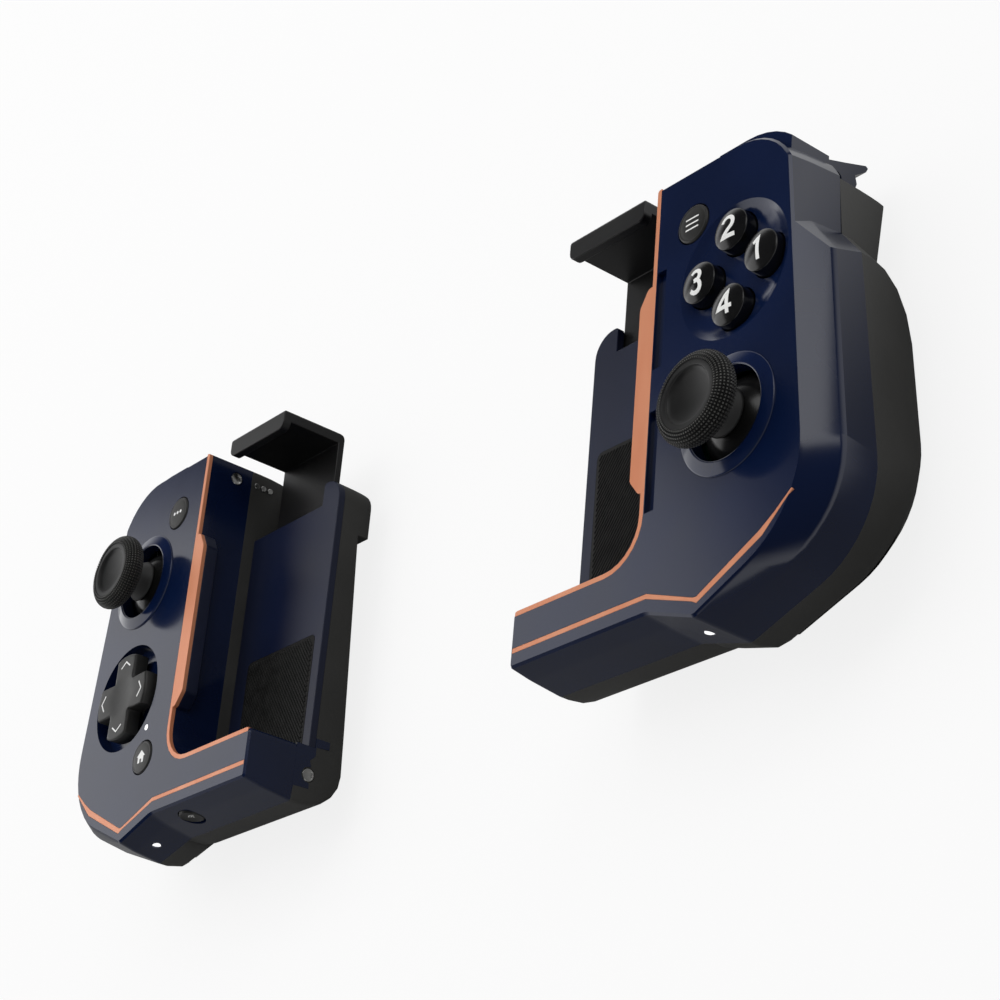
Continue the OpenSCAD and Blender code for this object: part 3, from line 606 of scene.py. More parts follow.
def add_piece(
    name: str,
    draft: Draft,
    finish: Finish,
    body: str,
    at: Vector,
    stands_for: str = "",
    angle: float = 35.0,
    tips: Finish | None = None,
) -> None:
    """Makes a piece of the scene from a draft.

    Args:
        name: name of the piece.
        draft: its mesh in millimetres.
        finish: its surface.
        body: CAD body that it rides on.
        at: place of the draft's origin, in metres.
        stands_for: CAD node that it replaces.
        angle: sharpest angle that is shaded smooth, in degrees.
        tips: surface of the draft's bright faces.
    """
    mesh = bpy.data.meshes.new(name)
    points = [tuple(at + Vector(p) * MM) for p in draft.points]
    mesh.from_pydata(points, [], draft.faces)
    mesh.polygons.foreach_set("use_smooth", [True] * len(mesh.polygons))
    mesh.set_sharp_from_angle(angle=math.radians(angle))
    mesh.update()
    obj = add_object(name, mesh)
    mesh.materials.append(finish.material())
    if tips:
        mesh.materials.append(tips.material())
        for number in draft.bright:
            mesh.polygons[number].material_index = 1
    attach(obj, body)
    if stands_for:
        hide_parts(stands_for)
    LOG.info("%s: %s on %s", name, finish.name, body)


def middle(node: str) -> Vector:
    """Middle of a node's box, in metres."""
    low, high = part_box(node)
    return (low + high) / 2


def on_front(node: str) -> Vector:
    """Point of the front face over the middle of a node, in metres."""
    centre = middle(node)
    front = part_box("right_edge_trim")[1].z
    return Vector((centre.x, centre.y, front))


# Sub-assemblies


@dataclass
class Housing:
    """Shells, bed, trim and fittings of one half."""

    side: Side
    rib_pitch: float = 0.75
    rib_height: float = 0.26
    rib_margin: float = 0.7
    rib_round: float = 1.0
    rib_shortest: float = 0.6
    rib_slant: Point2 = (0.6, 0.8)
    rib_share: float = 0.38
    rib_root: float = 0.1
    rib_slope: float = 0.2
    rib_taper: float = 0.7
    pad_round: float = 1.5
    head_reach: float = 6.0
    head_flat: float = 0.01
    magnet_r: float = 1.7
    magnet_t: float = 1.8
    magnet_room: float = 0.15
    film: float = 0.03
    shell_angle: float = 25.0

    def dress(self) -> None:
        """Gives this half's CAD nodes their finishes."""
        node = self.side.node
        plan: list[tuple[str, Finish, Edge | None]] = [
            ("back_cover", CHARCOAL_ABS, Edge.EASED),
            ("phone_bed", SATIN_NAVY_ABS, Edge.CRISP),
            ("tab", SATIN_NAVY_ABS, Edge.CRISP),
            ("edge_trim", COPPER_PAINT, Edge.CRISP),
            ("accent_line", COPPER_PAINT, Edge.CRISP),
            ("clamp", SATIN_ABS, Edge.SOFT),
            ("clamp_spring", ZINC_STEEL, Edge.CRISP),
            ("stick_rocker", NATURAL_ACETAL, Edge.CRISP),
            ("stick_yoke", NATURAL_ACETAL, Edge.CRISP),
            ("stick_module", SATIN_ABS, Edge.CRISP),
            ("main_board", SOLDER_MASK, None),
            ("button_pad", SWITCH_SILICONE, None),
            ("battery", POUCH_FOIL, Edge.EASED),
            ("bumper", NAVY_ABS, Edge.EASED),
            ("trigger", NAVY_ABS, Edge.EASED),
            ("trigger_pin", ZINC_STEEL, None),
            ("contacts", NICKEL, Edge.CRISP),
            ("light_pipes", LAMP_ACRYLIC, None),
        ]
        dress(node("front_shell"), NAVY_ABS, Edge.CRISP, self.shell_angle)
        for piece, finish, edge in plan:
            dress(node(piece), finish, edge)

    def build(self) -> None:
        """Adds the ribbed pad, the screws, the magnets and the stepped inlay."""
        self.build_pad()
        self.build_screws()
        self.build_magnets()
        self.build_inlay()

    def build_pad(self) -> None:
        """Adds the silicone pad with its slanting ribs."""
        node = self.side.node("phone_pad")
        low, high = (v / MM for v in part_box(node))
        base_z = high.z - self.rib_height
        outline = rounded(rectangle(low.x, low.y, high.x, high.y, self.pad_round))
        draft = Draft().loft([[(x, y, low.z) for x, y in outline], [(x, y, base_z) for x, y in outline]])
        edge = self.rib_margin
        field_of_ribs = rounded(
            rectangle(low.x + edge, low.y + edge, high.x - edge, high.y - edge, self.rib_round)
        )
        along = Vector((self.rib_slant[0] * -self.side.value, -self.rib_slant[1])).normalized()
        across = Vector((-along.y, along.x))
        reach = [Vector(p).dot(across) for p in field_of_ribs]
        count = int((max(reach) - min(reach)) / self.rib_pitch)
        for i in range(count):
            offset = min(reach) + (i + 0.5) * self.rib_pitch
            ends = clip_line(across * offset, along, field_of_ribs)
            if ends and ends[1] - ends[0] > self.rib_shortest:
                self.add_rib(draft, across * offset, along, across, ends, base_z)
        add_piece(node + "_ribbed", draft, PAD_SILICONE, self.side.body, Vector(), node)

    def add_rib(
        self, draft: Draft, start: Vector, along: Vector, across: Vector, ends: Point2, z: float
    ) -> None:
        """Adds one rib with sloping sides.

        Args:
            draft: mesh that takes the rib.
            start: point on the rib's line.
            along: direction of the rib.
            across: direction across it.
            ends: distances of its two ends along the line.
            z: height of its foot.
        """
        half, slope = self.rib_pitch * self.rib_share, self.rib_slope
        rings = []
        levels = ((-self.rib_root, 0.0), (self.rib_height / 2, slope / 2), (self.rib_height, slope))
        for lift, inset in levels:
            ring = []
            for end, way in ((0, -1), (0, 1), (1, 1), (1, -1)):
                slide = ends[end] + (inset if end == 0 else -inset)
                p = start + along * slide + across * way * (half - inset * self.rib_taper)
                ring.append((p.x, p.y, z + lift))
            rings.append(list(reversed(ring)))
        draft.loft(rings)

    def build_screws(self) -> None:
        """Adds the cross-recessed screws of the back."""
        node = self.side.node("screws")
        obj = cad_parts[node]
        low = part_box(node)[0].z
        outer = [v.co for v in obj.data.vertices if v.co.z < low + self.head_flat * MM]
        heads: list[Vector] = []
        for point in outer:
            if all((point - head).length > self.head_reach * MM for head in heads):
                heads.append(point.copy())
        draft = Draft()
        for head in heads:
            self.add_screw(draft, self.head_centre(outer, head, low) / MM)
        add_piece(node + "_crossed", draft, ZINC_STEEL, self.side.body, Vector(), node)

    def head_centre(self, outer: Sequence[Vector], near: Vector, low: float) -> Vector:
        """Middle of the screw head that a point belongs to.

        Args:
            outer: points on the outer faces of all the heads.
            near: a point on the head.
            low: height of the heads' outer faces.

        Returns:
            The middle of the head's outer face, in metres.
        """
        points = [p for p in outer if (p - near).length < self.head_reach * MM]
        spans = [(min(p[k] for p in points) + max(p[k] for p in points)) / 2 for k in (0, 1)]
        return Vector((spans[0], spans[1], low))

    @staticmethod
    def add_screw(draft: Draft, at: Vector) -> None:
        """Adds one screw, whose head faces down.

        Args:
            draft: mesh that takes the screw.
            at: middle of the head's outer face, in millimetres.
        """
        steps = 64
        half, reach = 0.34, 1.35
        unit = circle(steps)

        def cross(c: float, s: float, grow: float) -> float:
            """Radius of the cross recess in one direction."""
            wide, narrow = max(abs(c), abs(s)), min(abs(c), abs(s))
            inner = (half * grow) / max(narrow, 1e-6)
            return min(reach * grow / wide, max(inner, half * grow * 1.15))

        def ring(radius: float | None, z: float, grow: float = 1.0) -> list[Point3]:
            """One outline round the screw's axis."""
            reaches = [radius or cross(c, s, grow) for c, s in unit]
            return [(at.x + r * c, at.y + r * s, at.z + z) for r, (c, s) in zip(reaches, unit)]

        plain = [(1.75, 0.0), (2.1, 0.12), (2.3, 0.45), (2.3, 1.6), (1.2, 1.62), (1.2, 15.0), (0.8, 15.6)]
        rings = [ring(None, 0.9, 0.55), ring(None, 0.05), *(ring(r, z) for r, z in plain)]
        draft.loft(rings, (at.x, at.y, at.z + 1.1), (at.x, at.y, at.z + 15.6))

    def build_magnets(self) -> None:
        """Adds the two docking magnets, with a bright rim round a sunk face."""
        node = self.side.node("magnets")
        low, high = (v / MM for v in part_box(node))
        r, t = self.magnet_r, self.magnet_t
        profile = [
            (0.0, -t), (r, -t), (r, -0.28), (r - 0.24, 0.0), (r - 0.4, 0.0), (r - 0.5, -0.08), (0.0, -0.08),
        ]
        way = self.side.value
        turn = Matrix.Rotation(math.radians(-90 * way), 3, "Y")
        ends = (low.x, high.x - t) if self.side is Side.RIGHT else (high.x, low.x + t)
        places = [Vector((ends[0], low.y + r, low.z + r)), Vector((ends[1], high.y - r, high.z - r))]
        draft = Draft()
        for place in places:
            draft.join(Draft().lathe(profile, 48).turned(turn), place)
        add_piece(node + "_rimmed", draft, NICKEL, self.side.body, Vector(), node, angle=40)

    def build_inlay(self) -> None:
        """Adds the stepped navy inlay on the end of the foot, which goes round the magnet."""
        low, high = (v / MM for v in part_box(self.side.node("phone_bed")))
        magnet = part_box(self.side.node("magnets"))[0] / MM + Vector((0, self.magnet_r, self.magnet_r))
        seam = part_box(self.side.node("back_cover"))[1].z / MM
        top, back = low.y, low.z
        notch = arc(self.magnet_r + self.magnet_room, 190, -10, 14, (magnet.y, magnet.z))
        step = magnet.z - 0.35
        outline = [
            (top, seam), (top - 11.8, seam), (top - 10.0, seam - 0.2), (top - 9.8, step),
            (notch[0][0] - 0.4, step), *notch, (notch[-1][0] + 0.4, step),
            (top - 3.3, step + 0.4), (top - 1.9, back - 0.3), (top + 0.2, back - 0.3),
            (top + 0.5, back - 3.7), (top + 2.3, back - 3.7), (top + 2.3, back),
            (top, back),
        ]
        way = self.side.value
        face = low.x if self.side is Side.RIGHT else high.x
        rings = [[(face + way * depth, y, z) for y, z in outline] for depth in (0.15, -self.film)]
        draft = Draft().loft(rings if self.side is Side.LEFT else [ring[::-1] for ring in rings])
        add_piece(self.side.node("foot_inlay"), draft, NAVY_ABS, self.side.body, Vector())


def clip_line(start: Vector, along: Vector, outline: Sequence[Point2]) -> Point2 | None:
    """Cuts a line to the inside of a convex outline.

    Args:
        start: point on the line.
        along: direction of the line.
        outline: convex outline that turns left.

    Returns:
        Distances of the two ends along the line, or None where it misses.
    """
    first, last = -1e9, 1e9
    for i, corner in enumerate(outline):
        a, b = Vector(corner), Vector(outline[(i + 1) % len(outline)])
        inward = Vector((-(b - a).y, (b - a).x))
        speed, room = along.dot(inward), (start - a).dot(inward)
        if abs(speed) < 1e-9:
            if room < 0:
                return None
        elif speed > 0:
            first = max(first, -room / speed)
        else:
            last = min(last, -room / speed)
    return (first, last) if first < last else None


@dataclass
class Thumbstick:
    """Stick cap with its knurled rim, the neck and the dust dome, and the ring round them."""

    side: Side
    cap_foot: float = 0.3
    rim_centre: Point2 = (6.9, 7.7)
    rim_r: float = 2.2
    knurl_columns: int = 84
    knurl_rows: int = 10
    knurl_height: float = 0.27
    knurl_span: Point2 = (-66.0, 92.0)
    stud_taper: float = 0.56
    hollow_r: float = 5.6
    hollow_low: float = 8.45
    hollow_rise: float = 0.95
    pivot: float = -10.0
    dome_r: float = 11.2
    dome_wall: float = 1.0
    dome_end: float = 68.0
    collar_in: float = 9.3
    collar_out: float = 12.2
    collar_top: float = 1.0
    collar_foot: float = -2.2

    def build(self) -> None:
        """Adds the cap, the dome and the ring."""
        label = self.side.label
        at = on_front(self.side.node("stick_collar"))
        body = f"{label}_stick"
        node = self.side.node("thumbstick")
        # The studs' flat tips take the paler tip finish, a painted highlight.
        add_piece(
            f"{label}_stick_cap", self.cap(), STICK_RUBBER, body, at, node,
            angle=30, tips=STUD_TIP_HIGHLIGHT_RUBBER,
        )
        add_piece(f"{label}_stick_dome", self.dome(), DOME_ACETAL, body, at)
        add_piece(
            f"{label}_stick_ring", self.collar(), COLLAR_ABS, self.side.body, at,
            self.side.node("stick_collar"), angle=50,
        )

    def cap(self) -> Draft:
        """Returns the cap: flange, neck, knurled rim, flat ring and hollow top."""
        plain = [
            (5.0, 0.7), (5.0, 1.0), (4.85, 1.3), (4.45, 2.0), (4.0, 3.0), (3.72, 3.7), (3.52, 4.35),
            (4.15, 4.75), (4.75, 5.0), (5.7, 5.25), (7.2, 5.35),
        ]
        rim = arc(self.rim_r, *self.knurl_span, self.knurl_rows, self.rim_centre)
        top = [(6.7, 9.98), (5.86, 9.98), (5.74, 9.93), (5.66, 9.82), (self.hollow_r, 9.62)]
        hollow = [
            (r, self.hollow_low + self.hollow_rise * (r / self.hollow_r) ** 2)
            for r in (5.2, 4.7, 4.1, 3.4, 2.7, 1.8, 0.9)
        ]
        profile = [(0.0, self.cap_foot), *plain, *rim, *top, *hollow, (0.0, self.hollow_low)]
        draft = Draft().lathe(profile, self.knurl_columns)
        self.raise_studs(draft, len(plain))
        return draft

    def raise_studs(self, draft: Draft, first: int) -> None:
        """Turns each face of the rim into a stud with sloping sides and a flat tip.

        Args:
            draft: mesh of the cap, which starts with its rings.
            first: number of the first ring of the rim.
        """
        start = first * self.knurl_columns
        end = start + self.knurl_rows * self.knurl_columns
        whole = draft.faces[start:end]
        draft.faces[start:end] = []
        for face in whole:
            corners = [Vector(draft.points[i]) for i in face]
            middle_point = sum(corners, Vector()) / 4
            flat = Vector((middle_point.x, middle_point.y, 0.0)).normalized()
            core = flat * self.rim_centre[0] + Vector((0.0, 0.0, self.rim_centre[1]))
            lift = (middle_point - core).normalized() * self.knurl_height
            tip = len(draft.points)
            draft.points.extend(tuple(p.lerp(middle_point, self.stud_taper) + lift) for p in corners)
            for k in range(4):
                j = (k + 1) % 4
                draft.faces.append((face[k], face[j], tip + j, tip + k))
            # This flat tip gets the paler tip finish, a painted highlight.
            draft.bright.add(len(draft.faces))
            draft.faces.append((tip, tip + 1, tip + 2, tip + 3))

    def dome(self) -> Draft:
        """Returns the ball-shaped dust dome below the cap."""
        angles = [math.radians(self.dome_end * k / 16) for k in range(17)]
        under, over = (
            [(r * math.sin(a), self.pivot + r * math.cos(a)) for a in angles]
            for r in (self.dome_r - self.dome_wall, self.dome_r)
        )
        return Draft().lathe(under + over[::-1], 96)

    def collar(self) -> Draft:
        """Returns the ring round the opening, whose face slopes outwards between two eased edges."""
        outer, inner, top, foot = self.collar_out, self.collar_in, self.collar_top, self.collar_foot
        profile = [
            (outer, foot), (outer, 0.12), (outer - 0.05, 0.24), (outer - 0.17, 0.33), (outer - 0.32, 0.38),
            (inner + 0.55, top - 0.03), (inner + 0.38, top), (inner + 0.2, top - 0.04),
            (inner + 0.06, top - 0.16), (inner, top - 0.34), (inner, foot),
        ]
        unit = circle(128)
        draft = Draft()
        count = len(unit)
        draft.points = [(r * c, r * s, z) for r, z in profile for c, s in unit]
        for k in range(len(profile)):
            for i in range(count):
                a, b = k * count + i, k * count + (i + 1) % count
                after = (k + 1) % len(profile) * count
                draft.faces.append((a, b, after + (i + 1) % count, after + i))
        return draft


class Mark(Enum):
    """Printed marks of the buttons."""

    LINES = "three lines"
    DOTS = "three dots"
    HOUSE = "house"
    ONE = "1"
    TWO = "2"
    THREE = "3"
    FOUR = "4"
    WAVES = "waves"


@dataclass
class Legend:
    """A printed mark on a button."""

    mark: Mark
    height: Height
    size: float = 1.0
    thick: float = 0.04
    bold: float = 0.68
    fine: float = 0.3
    dot_r: float = 0.42

    def lines(self) -> tuple[list[list[Point2]], float]:
        """Returns the strokes of the mark and their width, in millimetres."""
        bold = self.bold
        shapes: dict[Mark, tuple[list[list[Point2]], float]] = {
            Mark.LINES: ([[(-1.75, y), (1.75, y)] for y in (1.15, 0.0, -1.15)], self.fine),
            Mark.ONE: ([[(-0.8, 1.05), (0.1, 1.75), (0.1, -1.9)]], bold),
            Mark.TWO: ([[*arc(1.1, 170, -42, 10, (0.0, 0.75)), (-1.15, -1.52), (1.4, -1.52)]], bold),
            Mark.THREE: (
                [[*arc(0.95, 150, -80, 9, (-0.05, 0.85)), (-0.2, -0.05)],
                 [(-0.2, -0.05), *arc(1.05, 82, -155, 10, (-0.05, -0.95))]],
                bold,
            ),
            Mark.FOUR: ([[(0.55, -1.9), (0.55, 1.75), (-1.35, -0.8), (1.45, -0.8)]], bold),
            Mark.WAVES: ([arc(0.75, 35, 145, 8, (0.0, -0.6)), arc(1.45, 35, 145, 10, (0.0, -0.6))], 0.34),
        }
        return shapes.get(self.mark, ([], 0.0))

    def patches(self) -> list[list[Point2]]:
        """Returns the filled outlines of the mark, in millimetres."""
        if self.mark is Mark.DOTS:
            r = self.dot_r
            return [[(x + r * c, r * s) for c, s in circle(20)] for x in (-1.35, 0.0, 1.35)]
        if self.mark is Mark.WAVES:
            return [[(0.24 * c, -0.6 + 0.24 * s) for c, s in circle(16)]]
        if self.mark is Mark.HOUSE:
            return [
                [(-1.2, -1.45), (-0.38, -1.45), (-0.38, -0.45), (0.38, -0.45), (0.38, -1.45), (1.2, -1.45),
                 (1.2, 0.15), (1.75, 0.15), (0.0, 1.7), (-1.75, 0.15), (-1.2, 0.15)]
            ]
        return []

    def draft(self) -> Draft:
        """Returns the mesh of the mark."""
        made = Draft()
        paths, width = self.lines()
        for path in paths:
            scaled = [(x * self.size, y * self.size) for x, y in path]
            made.stroke(split(scaled, 0.3), width * self.size, self.height, self.thick)
        for outline in self.patches():
            made.film([(x * self.size, y * self.size) for x, y in outline], self.height, self.thick)
        return made


@dataclass
class TallButton:
    """One of the four action buttons: a round cap with a high crown."""

    number: int
    radius: float = 4.3
    shoulder: float = 0.95
    crown: float = 2.1
    corner: float = 0.3
    turn: float = 64.0
    foot: float = -4.2
    number_size: float = 1.24

    def rim(self) -> list[Point2]:
        """Radius and height along the rounded edge, which ends at the crown."""
        return arc(self.corner, 0, self.turn, 4, (self.radius - self.corner, self.shoulder))

    def height(self, x: float, y: float) -> float:
        """Height of the crown at a place."""
        reach, low = self.rim()[-1]
        return low + (self.crown - low) * (1 - min(1.0, (x * x + y * y) / reach**2))

    def build(self) -> None:
        """Adds the cap and its number."""
        node = f"action_button_{self.number}"
        at = on_front(node)
        rim = self.rim()
        reach = rim[-1][0]
        dome = [(reach * k / 8, self.height(reach * k / 8, 0)) for k in range(7, 0, -1)]
        profile = [(0.0, self.foot), (self.radius, self.foot), *rim, *dome, (0.0, self.crown)]
        add_piece(
            f"{node}_cap", Draft().lathe(profile, 72), GLOSS_BLACK_ABS, node, at, node, angle=50
        )
        mark = [Mark.ONE, Mark.TWO, Mark.THREE, Mark.FOUR][self.number - 1]
        legend = Legend(mark, self.height, self.number_size)
        add_piece(f"{node}_number", legend.draft(), WHITE_INK, node, at)


@dataclass
class SmallButton:
    """A low round button with a printed mark."""

    node: str
    mark: Mark
    radius: float = 4.05
    rise: float = 0.32
    crown: float = 0.1
    foot: float = -2.2

    def height(self, x: float, y: float) -> float:
        """Height of the slightly crowned top at a place."""
        return self.rise + self.crown * (1 - (x * x + y * y) / self.radius**2)

    def build(self) -> None:
        """Adds the cap and its mark."""
        at = on_front(self.node)
        r = self.radius
        rim = [
            (r, -0.05), (r - 0.05, 0.14), (r - 0.2, 0.29),
            (r - 0.42, 0.33), (r - 0.55, 0.27), (r - 0.68, 0.3),
        ]
        top = [(r * k / 6, self.height(r * k / 6, 0)) for k in range(4, 0, -1)]
        profile = [(0.0, self.foot), (r, self.foot), *rim, *top, (0.0, self.height(0, 0))]
        add_piece(
            f"{self.node}_cap", Draft().lathe(profile, 72), GRAINED_BLACK_ABS, self.node, at,
            self.node, angle=50,
        )
        add_piece(f"{self.node}_mark", Legend(self.mark, self.height).draft(), WHITE_INK, self.node, at)


@dataclass
class PairButton:
    """The pairing button in the underside of the foot."""

    node: str = "pair_button"
    radius: float = 3.0
    flange: float = 0.6
    sunk: float = 0.36
    mark_size: float = 0.8
    mark_thick: float = 0.05

    def build(self) -> None:
        """Adds the cap, which faces down the foot's underside, and its mark."""
        low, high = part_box(self.node)
        radius, wide = self.radius, self.radius + self.flange
        at = Vector(((low.x + high.x) / 2, low.y, (low.z + high.z) / 2))
        turn = Matrix.Rotation(math.radians(90), 3, "X")
        depth = (high.y - low.y) / MM
        profile = [
            (0.0, -depth), (wide, -depth), (wide, -depth + 1.0), (radius, -depth + 1.0),
            (radius, -0.35), (radius - 0.12, -0.1), (radius - 0.35, 0.0), (radius - 0.6, -0.12),
            (radius * 0.5, -0.3), (0.0, -self.sunk),
        ]
        draft = Draft().lathe(profile, 64).turned(turn)
        add_piece("pair_button_cap", draft, GRAINED_BLACK_ABS, self.node, at, self.node)

        def dish(x: float, y: float) -> float:
            """Height of the hollow top at a place."""
            return -self.sunk + 0.06 * (x * x + y * y) / (radius * 0.5) ** 2

        legend = Legend(Mark.WAVES, dish, self.mark_size, self.mark_thick).draft().turned(turn)
        add_piece("pair_button_mark", legend, WHITE_INK, self.node, at)


@dataclass
class DirectionPad:
    """The four-way pad."""

    node: str = "direction_pad"
    reach: float = 10.9
    arm: float = 4.1
    foot: float = -1.95
    top: float = 1.6
    hollow_r: float = 31.0
    hollow_low: float = 1.15
    edge_drop: float = 0.62
    chevron: Point3 = (7.6, 9.0, 2.0)
    chevron_line: Point2 = (0.36, 0.04)

    def height(self, x: float, y: float) -> float:
        """Height of the pad's hollow top at a place."""
        away = min(x * x + y * y, (self.hollow_r * 0.9) ** 2)
        bowl = self.hollow_low + self.hollow_r - math.sqrt(self.hollow_r**2 - away)
        return min(self.top, bowl)

    def outline(self) -> list[Point2]:
        """Returns the cross, with tips that follow a circle and rounded inner corners."""
        arm = self.arm
        tip = math.degrees(math.asin(arm / self.reach))
        straight = self.reach * math.cos(math.radians(tip))
        steps = (1, 2, 3, 4)
        quarter = [
            *arc(self.reach, -tip, tip, 10),
            *[(straight * (1 - k / 5) + arm * k / 5, arm) for k in steps],
            (arm + 0.5, arm), (arm + 0.15, arm + 0.15), (arm, arm + 0.5),
            *[(arm, arm + (straight - arm) * k / 5) for k in steps],
        ]
        return [point for k in range(4) for point in spun(quarter, math.radians(90 * k))]

    def build(self) -> None:
        """Adds the pad and its four printed chevrons."""
        at = on_front(self.node)
        cross = self.outline()

        def inset(amount: float) -> list[Point2]:
            """The outline, drawn in by an amount."""
            shares = [1 - amount / max(math.hypot(x, y), 1) for x, y in cross]
            return [(x * share, y * share) for (x, y), share in zip(cross, shares)]

        rings = [[(x, y, z) for x, y in cross] for z in (self.foot, self.top - self.edge_drop)]
        for amount, drop in ((0.08, 0.36), (0.24, 0.15), (0.46, 0.04)):
            rings.append([(x, y, self.height(x, y) - drop) for x, y in inset(amount)])
        for scale in (0.92, 0.8, 0.66, 0.52, 0.38, 0.24, 0.1):
            rings.append([(x * scale, y * scale, self.height(x * scale, y * scale)) for x, y in cross])
        draft = Draft().loft(rings, None, (0.0, 0.0, self.height(0, 0)))
        add_piece("direction_pad_cross", draft, GRAINED_BLACK_ABS, self.node, at, self.node, angle=40)
        marks = Draft()
        near, far, half = self.chevron
        width, thick = self.chevron_line
        for quarter in range(4):
            path = spun([(near, -half), (far, 0.0), (near, half)], math.radians(90 * quarter))
            marks.stroke(split(path, 0.5), width, self.height, thick)
        add_piece("direction_pad_chevrons", marks, WHITE_INK, self.node, at)
        dress("direction_spider", NATURAL_ACETAL, Edge.CRISP)


@dataclass
class ChargingPort:
    """The socket in the outer side of the left half."""

    node: str = "usb_port"
    tongue: Point3 = (6.0, 6.6, 0.7)
    setback: float = 1.0
    pins: int = 6
    pin_span: Point2 = (0.5, 3.6)
    pin_margin: float = 0.8
    pin_line: Point2 = (0.34, 0.03)

    def build(self) -> None:
        """Dresses the steel sleeve and adds the tongue with its contacts."""
        dress(self.node, ZINC_STEEL, Edge.CRISP)
        low, high = (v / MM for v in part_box(self.node))
        length, width, thick = self.tongue
        y, z = (low.y + high.y) / 2, (low.z + high.z) / 2
        x1 = high.x - self.setback
        x0 = x1 - length
        outline = rounded(rectangle(x0, y - width / 2, x1, y + width / 2, 0.6))
        rings = [[(a, b, z + side * thick / 2) for a, b in outline] for side in (-1, 1)]
        draft = Draft().loft(rings)
        add_piece("usb_tongue", draft, SATIN_ABS, Side.LEFT.body, Vector())
        pins = Draft()
        for k in range(self.pins):
            row = y - width / 2 + self.pin_margin + k * (width - 2 * self.pin_margin) / (self.pins - 1)
            path = [(x0 + along, row) for along in self.pin_span]
            for way in (-1, 1):
                pins.stroke(path, self.pin_line[0], lambda a, b, w=way: z + w * thick / 2, self.pin_line[1])
        add_piece("usb_contacts", pins, GOLD_PLATE, Side.LEFT.body, Vector())


# Scene


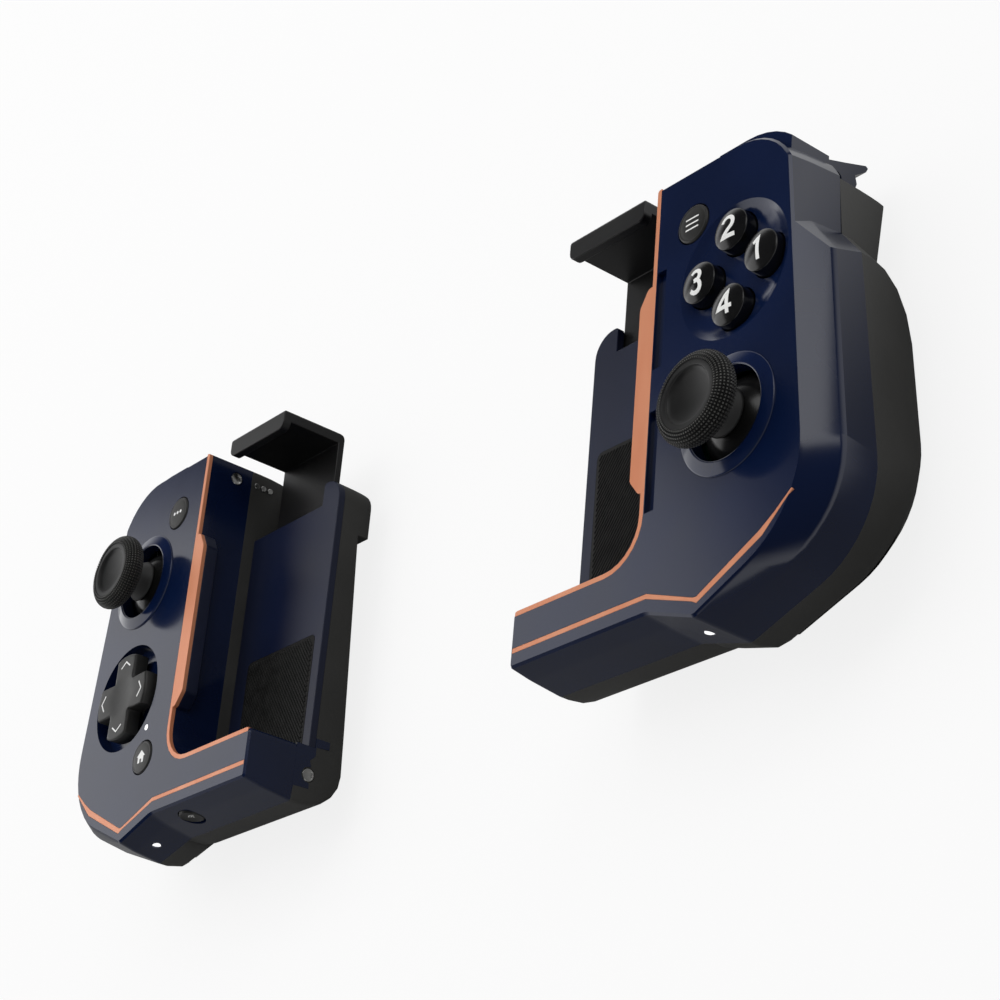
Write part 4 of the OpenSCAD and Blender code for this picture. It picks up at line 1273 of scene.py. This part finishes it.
@dataclass
class Studio:
    """Floor, light and camera."""

    eye: Point3 = (0.3891, -0.22405, 0.2925)
    image_right: Point3 = (0.6274, 0.0785, -0.7747)
    image_down: Point3 = (-0.3036, -0.8915, -0.3361)
    lens: float = 88.27
    sensor: float = 36.0
    clip: Point2 = (0.01, 50.0)
    floor_half: float = 30.0
    floor_drop: float = 0.0004
    floor_colour: str = "#f2f2f2"
    bounce_colour: str = "#7c7c7c"
    seen_white: float = 0.84
    mirrored_white: float = 0.05
    bright_from: float = 0.145
    bright_to: float = 0.215
    ambient: float = 0.4
    backdrop_low: float = 0.16
    backdrop_high: float = 0.42
    backdrop_dark: Colour = (0.04, 0.04, 0.045, 1.0)

    def build(self) -> None:
        """Makes the whole studio."""
        self.build_camera()
        self.build_floor()
        self.build_world()
        self.build_lamps()
        bpy.context.scene.view_settings.view_transform = "Standard"

    def build_camera(self) -> None:
        """Sets the camera to the photograph's view."""
        data = bpy.data.cameras.new("camera")
        data.sensor_width = self.sensor
        data.lens = self.lens
        data.clip_start, data.clip_end = self.clip
        camera = add_object("camera", data)
        right = Vector(self.image_right).normalized()
        up = -Vector(self.image_down)
        up = (up - right * up.dot(right)).normalized()
        back = right.cross(up)
        turn = Matrix((right, up, back)).transposed()
        camera.matrix_world = Matrix.Translation(self.eye) @ turn.to_4x4()
        bpy.context.scene.camera = camera

    @staticmethod
    def mirror_rays(tree: bpy.types.NodeTree, path: bpy.types.Node) -> bpy.types.NodeSocket:
        """Adds the test for rays that gloss, metal or clear plastic send on.

        Args:
            tree: node tree that takes the node.
            path: the tree's Light Path node.

        Returns:
            The socket that is 1 for such rays.
        """
        both = add_node(
            tree, "ShaderNodeMath", {"operation": "MAXIMUM"},
            {0: path.outputs["Is Glossy Ray"], 1: path.outputs["Is Transmission Ray"]},
        )
        return both.outputs[0]

    def build_floor(self) -> None:
        """Adds the pale floor, which shows white and keeps the shadow."""
        mesh = bpy.data.meshes.new("floor")
        reach, z = self.floor_half, -self.floor_drop
        corners = [(-reach, -reach, z), (reach, -reach, z), (reach, reach, z), (-reach, reach, z)]
        mesh.from_pydata(corners, [], [(0, 1, 2, 3)])
        floor = add_object("floor", mesh)
        paint = bpy.data.materials.new("matt_white_sweep")
        tree = empty_tree(paint)
        path = add_node(tree, "ShaderNodeLightPath")
        mirrors = self.mirror_rays(tree, path)
        white = add_node(tree, "ShaderNodeEmission", {"Color": WHITE, "Strength": 1.0})
        pale = add_node(tree, "ShaderNodeBsdfDiffuse", {"Color": hex_linear(self.floor_colour)})
        dull = add_node(tree, "ShaderNodeBsdfDiffuse", {"Color": hex_linear(self.bounce_colour)})
        place = add_node(tree, "ShaderNodeTexCoord")
        axes = add_node(tree, "ShaderNodeSeparateXYZ", {}, {"Vector": place.outputs["Object"]})
        aside = add_node(
            tree, "ShaderNodeMath", {"operation": "ADD"}, {0: axes.outputs["X"], 1: axes.outputs["Y"]}
        )
        bright = add_node(
            tree, "ShaderNodeMapRange",
            {"interpolation_type": "SMOOTHSTEP", "From Min": self.bright_from, "From Max": self.bright_to,
             "To Min": self.mirrored_white, "To Max": 1.0},
            {"Value": aside.outputs[0]},
        )
        share = add_node(
            tree, "ShaderNodeMath", {"operation": "MULTIPLY"}, {0: mirrors, 1: bright.outputs["Result"]}
        )
        lit = add_node(
            tree, "ShaderNodeMixShader", {}, {0: share.outputs[0], 1: dull.outputs[0], 2: white.outputs[0]}
        )
        seen = add_node(
            tree, "ShaderNodeMixShader", {0: self.seen_white}, {1: pale.outputs[0], 2: white.outputs[0]}
        )
        both = add_node(
            tree, "ShaderNodeMixShader", {},
            {0: path.outputs["Is Camera Ray"], 1: lit.outputs[0], 2: seen.outputs[0]},
        )
        add_node(tree, "ShaderNodeOutputMaterial", {}, {"Surface": both.outputs[0]})
        mesh.materials.append(paint)

    def build_world(self) -> None:
        """Sets the soft light all round, and the white backdrop near the horizon."""
        world = bpy.data.worlds.new("studio")
        bpy.context.scene.world = world
        tree = empty_tree(world)
        path = add_node(tree, "ShaderNodeLightPath")
        place = add_node(tree, "ShaderNodeTexCoord")
        axes = add_node(tree, "ShaderNodeSeparateXYZ", {}, {"Vector": place.outputs["Generated"]})
        fall = add_node(tree, "ShaderNodeValToRGB", {}, {"Fac": axes.outputs["Z"]})
        ramp = fall.color_ramp
        ramp.elements[0].position, ramp.elements[0].color = self.backdrop_low, WHITE
        ramp.elements[1].position, ramp.elements[1].color = self.backdrop_high, self.backdrop_dark
        soft = add_node(tree, "ShaderNodeBackground", {"Color": WHITE, "Strength": self.ambient})
        backdrop = add_node(
            tree, "ShaderNodeBackground", {"Strength": 1.0}, {"Color": fall.outputs["Color"]}
        )
        white = add_node(tree, "ShaderNodeBackground", {"Color": WHITE, "Strength": 1.0})
        first = add_node(
            tree, "ShaderNodeMixShader", {},
            {0: self.mirror_rays(tree, path), 1: soft.outputs[0], 2: backdrop.outputs[0]},
        )
        second = add_node(
            tree, "ShaderNodeMixShader", {},
            {0: path.outputs["Is Camera Ray"], 1: first.outputs[0], 2: white.outputs[0]},
        )
        add_node(tree, "ShaderNodeOutputWorld", {}, {"Surface": second.outputs[0]})

    def build_lamps(self) -> None:
        """Adds two softboxes that the gloss shows, and a broad top light that it doesn't."""
        self.add_lamp("side_softbox", (-1.15, 0.14, 0.66), (0.9, 1.05), 3.5, True, 0.38)
        self.add_lamp("rear_softbox", (0.58, 0.56, 0.72), (0.5, 0.5), 1.6, True)
        self.add_lamp("top_light", (-0.25, 0.45, 1.25), (1.2, 1.2), 8.0, False)

    @staticmethod
    def add_lamp(
        name: str, at: Point3, size: Point2, power: float, mirrored: bool, lean: float = 0.0
    ) -> None:
        """Adds a soft lamp that faces the object.

        Args:
            name: name of the lamp.
            at: its place, in metres.
            size: its width and height, in metres.
            power: its power in watts.
            mirrored: True where gloss shows it.
            lean: how far it is rolled about its own axis, in radians.
        """
        data = bpy.data.lights.new(name, "AREA")
        data.shape = "RECTANGLE"
        data.size, data.size_y = size
        data.energy = power
        lamp = add_object(name, data)
        lamp.location = at
        roll = Matrix.Rotation(lean, 3, "Z").to_quaternion()
        lamp.rotation_euler = ((-Vector(at)).to_track_quat("-Z", "Y") @ roll).to_euler()
        lamp.visible_glossy = mirrored


def main() -> None:
    """Builds the studio and then each sub-assembly."""
    logging.basicConfig(level=logging.INFO, format="%(name)s: %(message)s")
    Studio().build()
    for side in Side:
        half = Housing(side)
        half.dress()
        half.build()
        Thumbstick(side).build()
    for number in (1, 2, 3, 4):
        TallButton(number).build()
    for node, mark in (("view_button", Mark.DOTS), ("home_button", Mark.HOUSE), ("menu_button", Mark.LINES)):
        SmallButton(node, mark).build()
    PairButton().build()
    DirectionPad().build()
    ChargingPort().build()


if __name__ == "__main__":
    main()
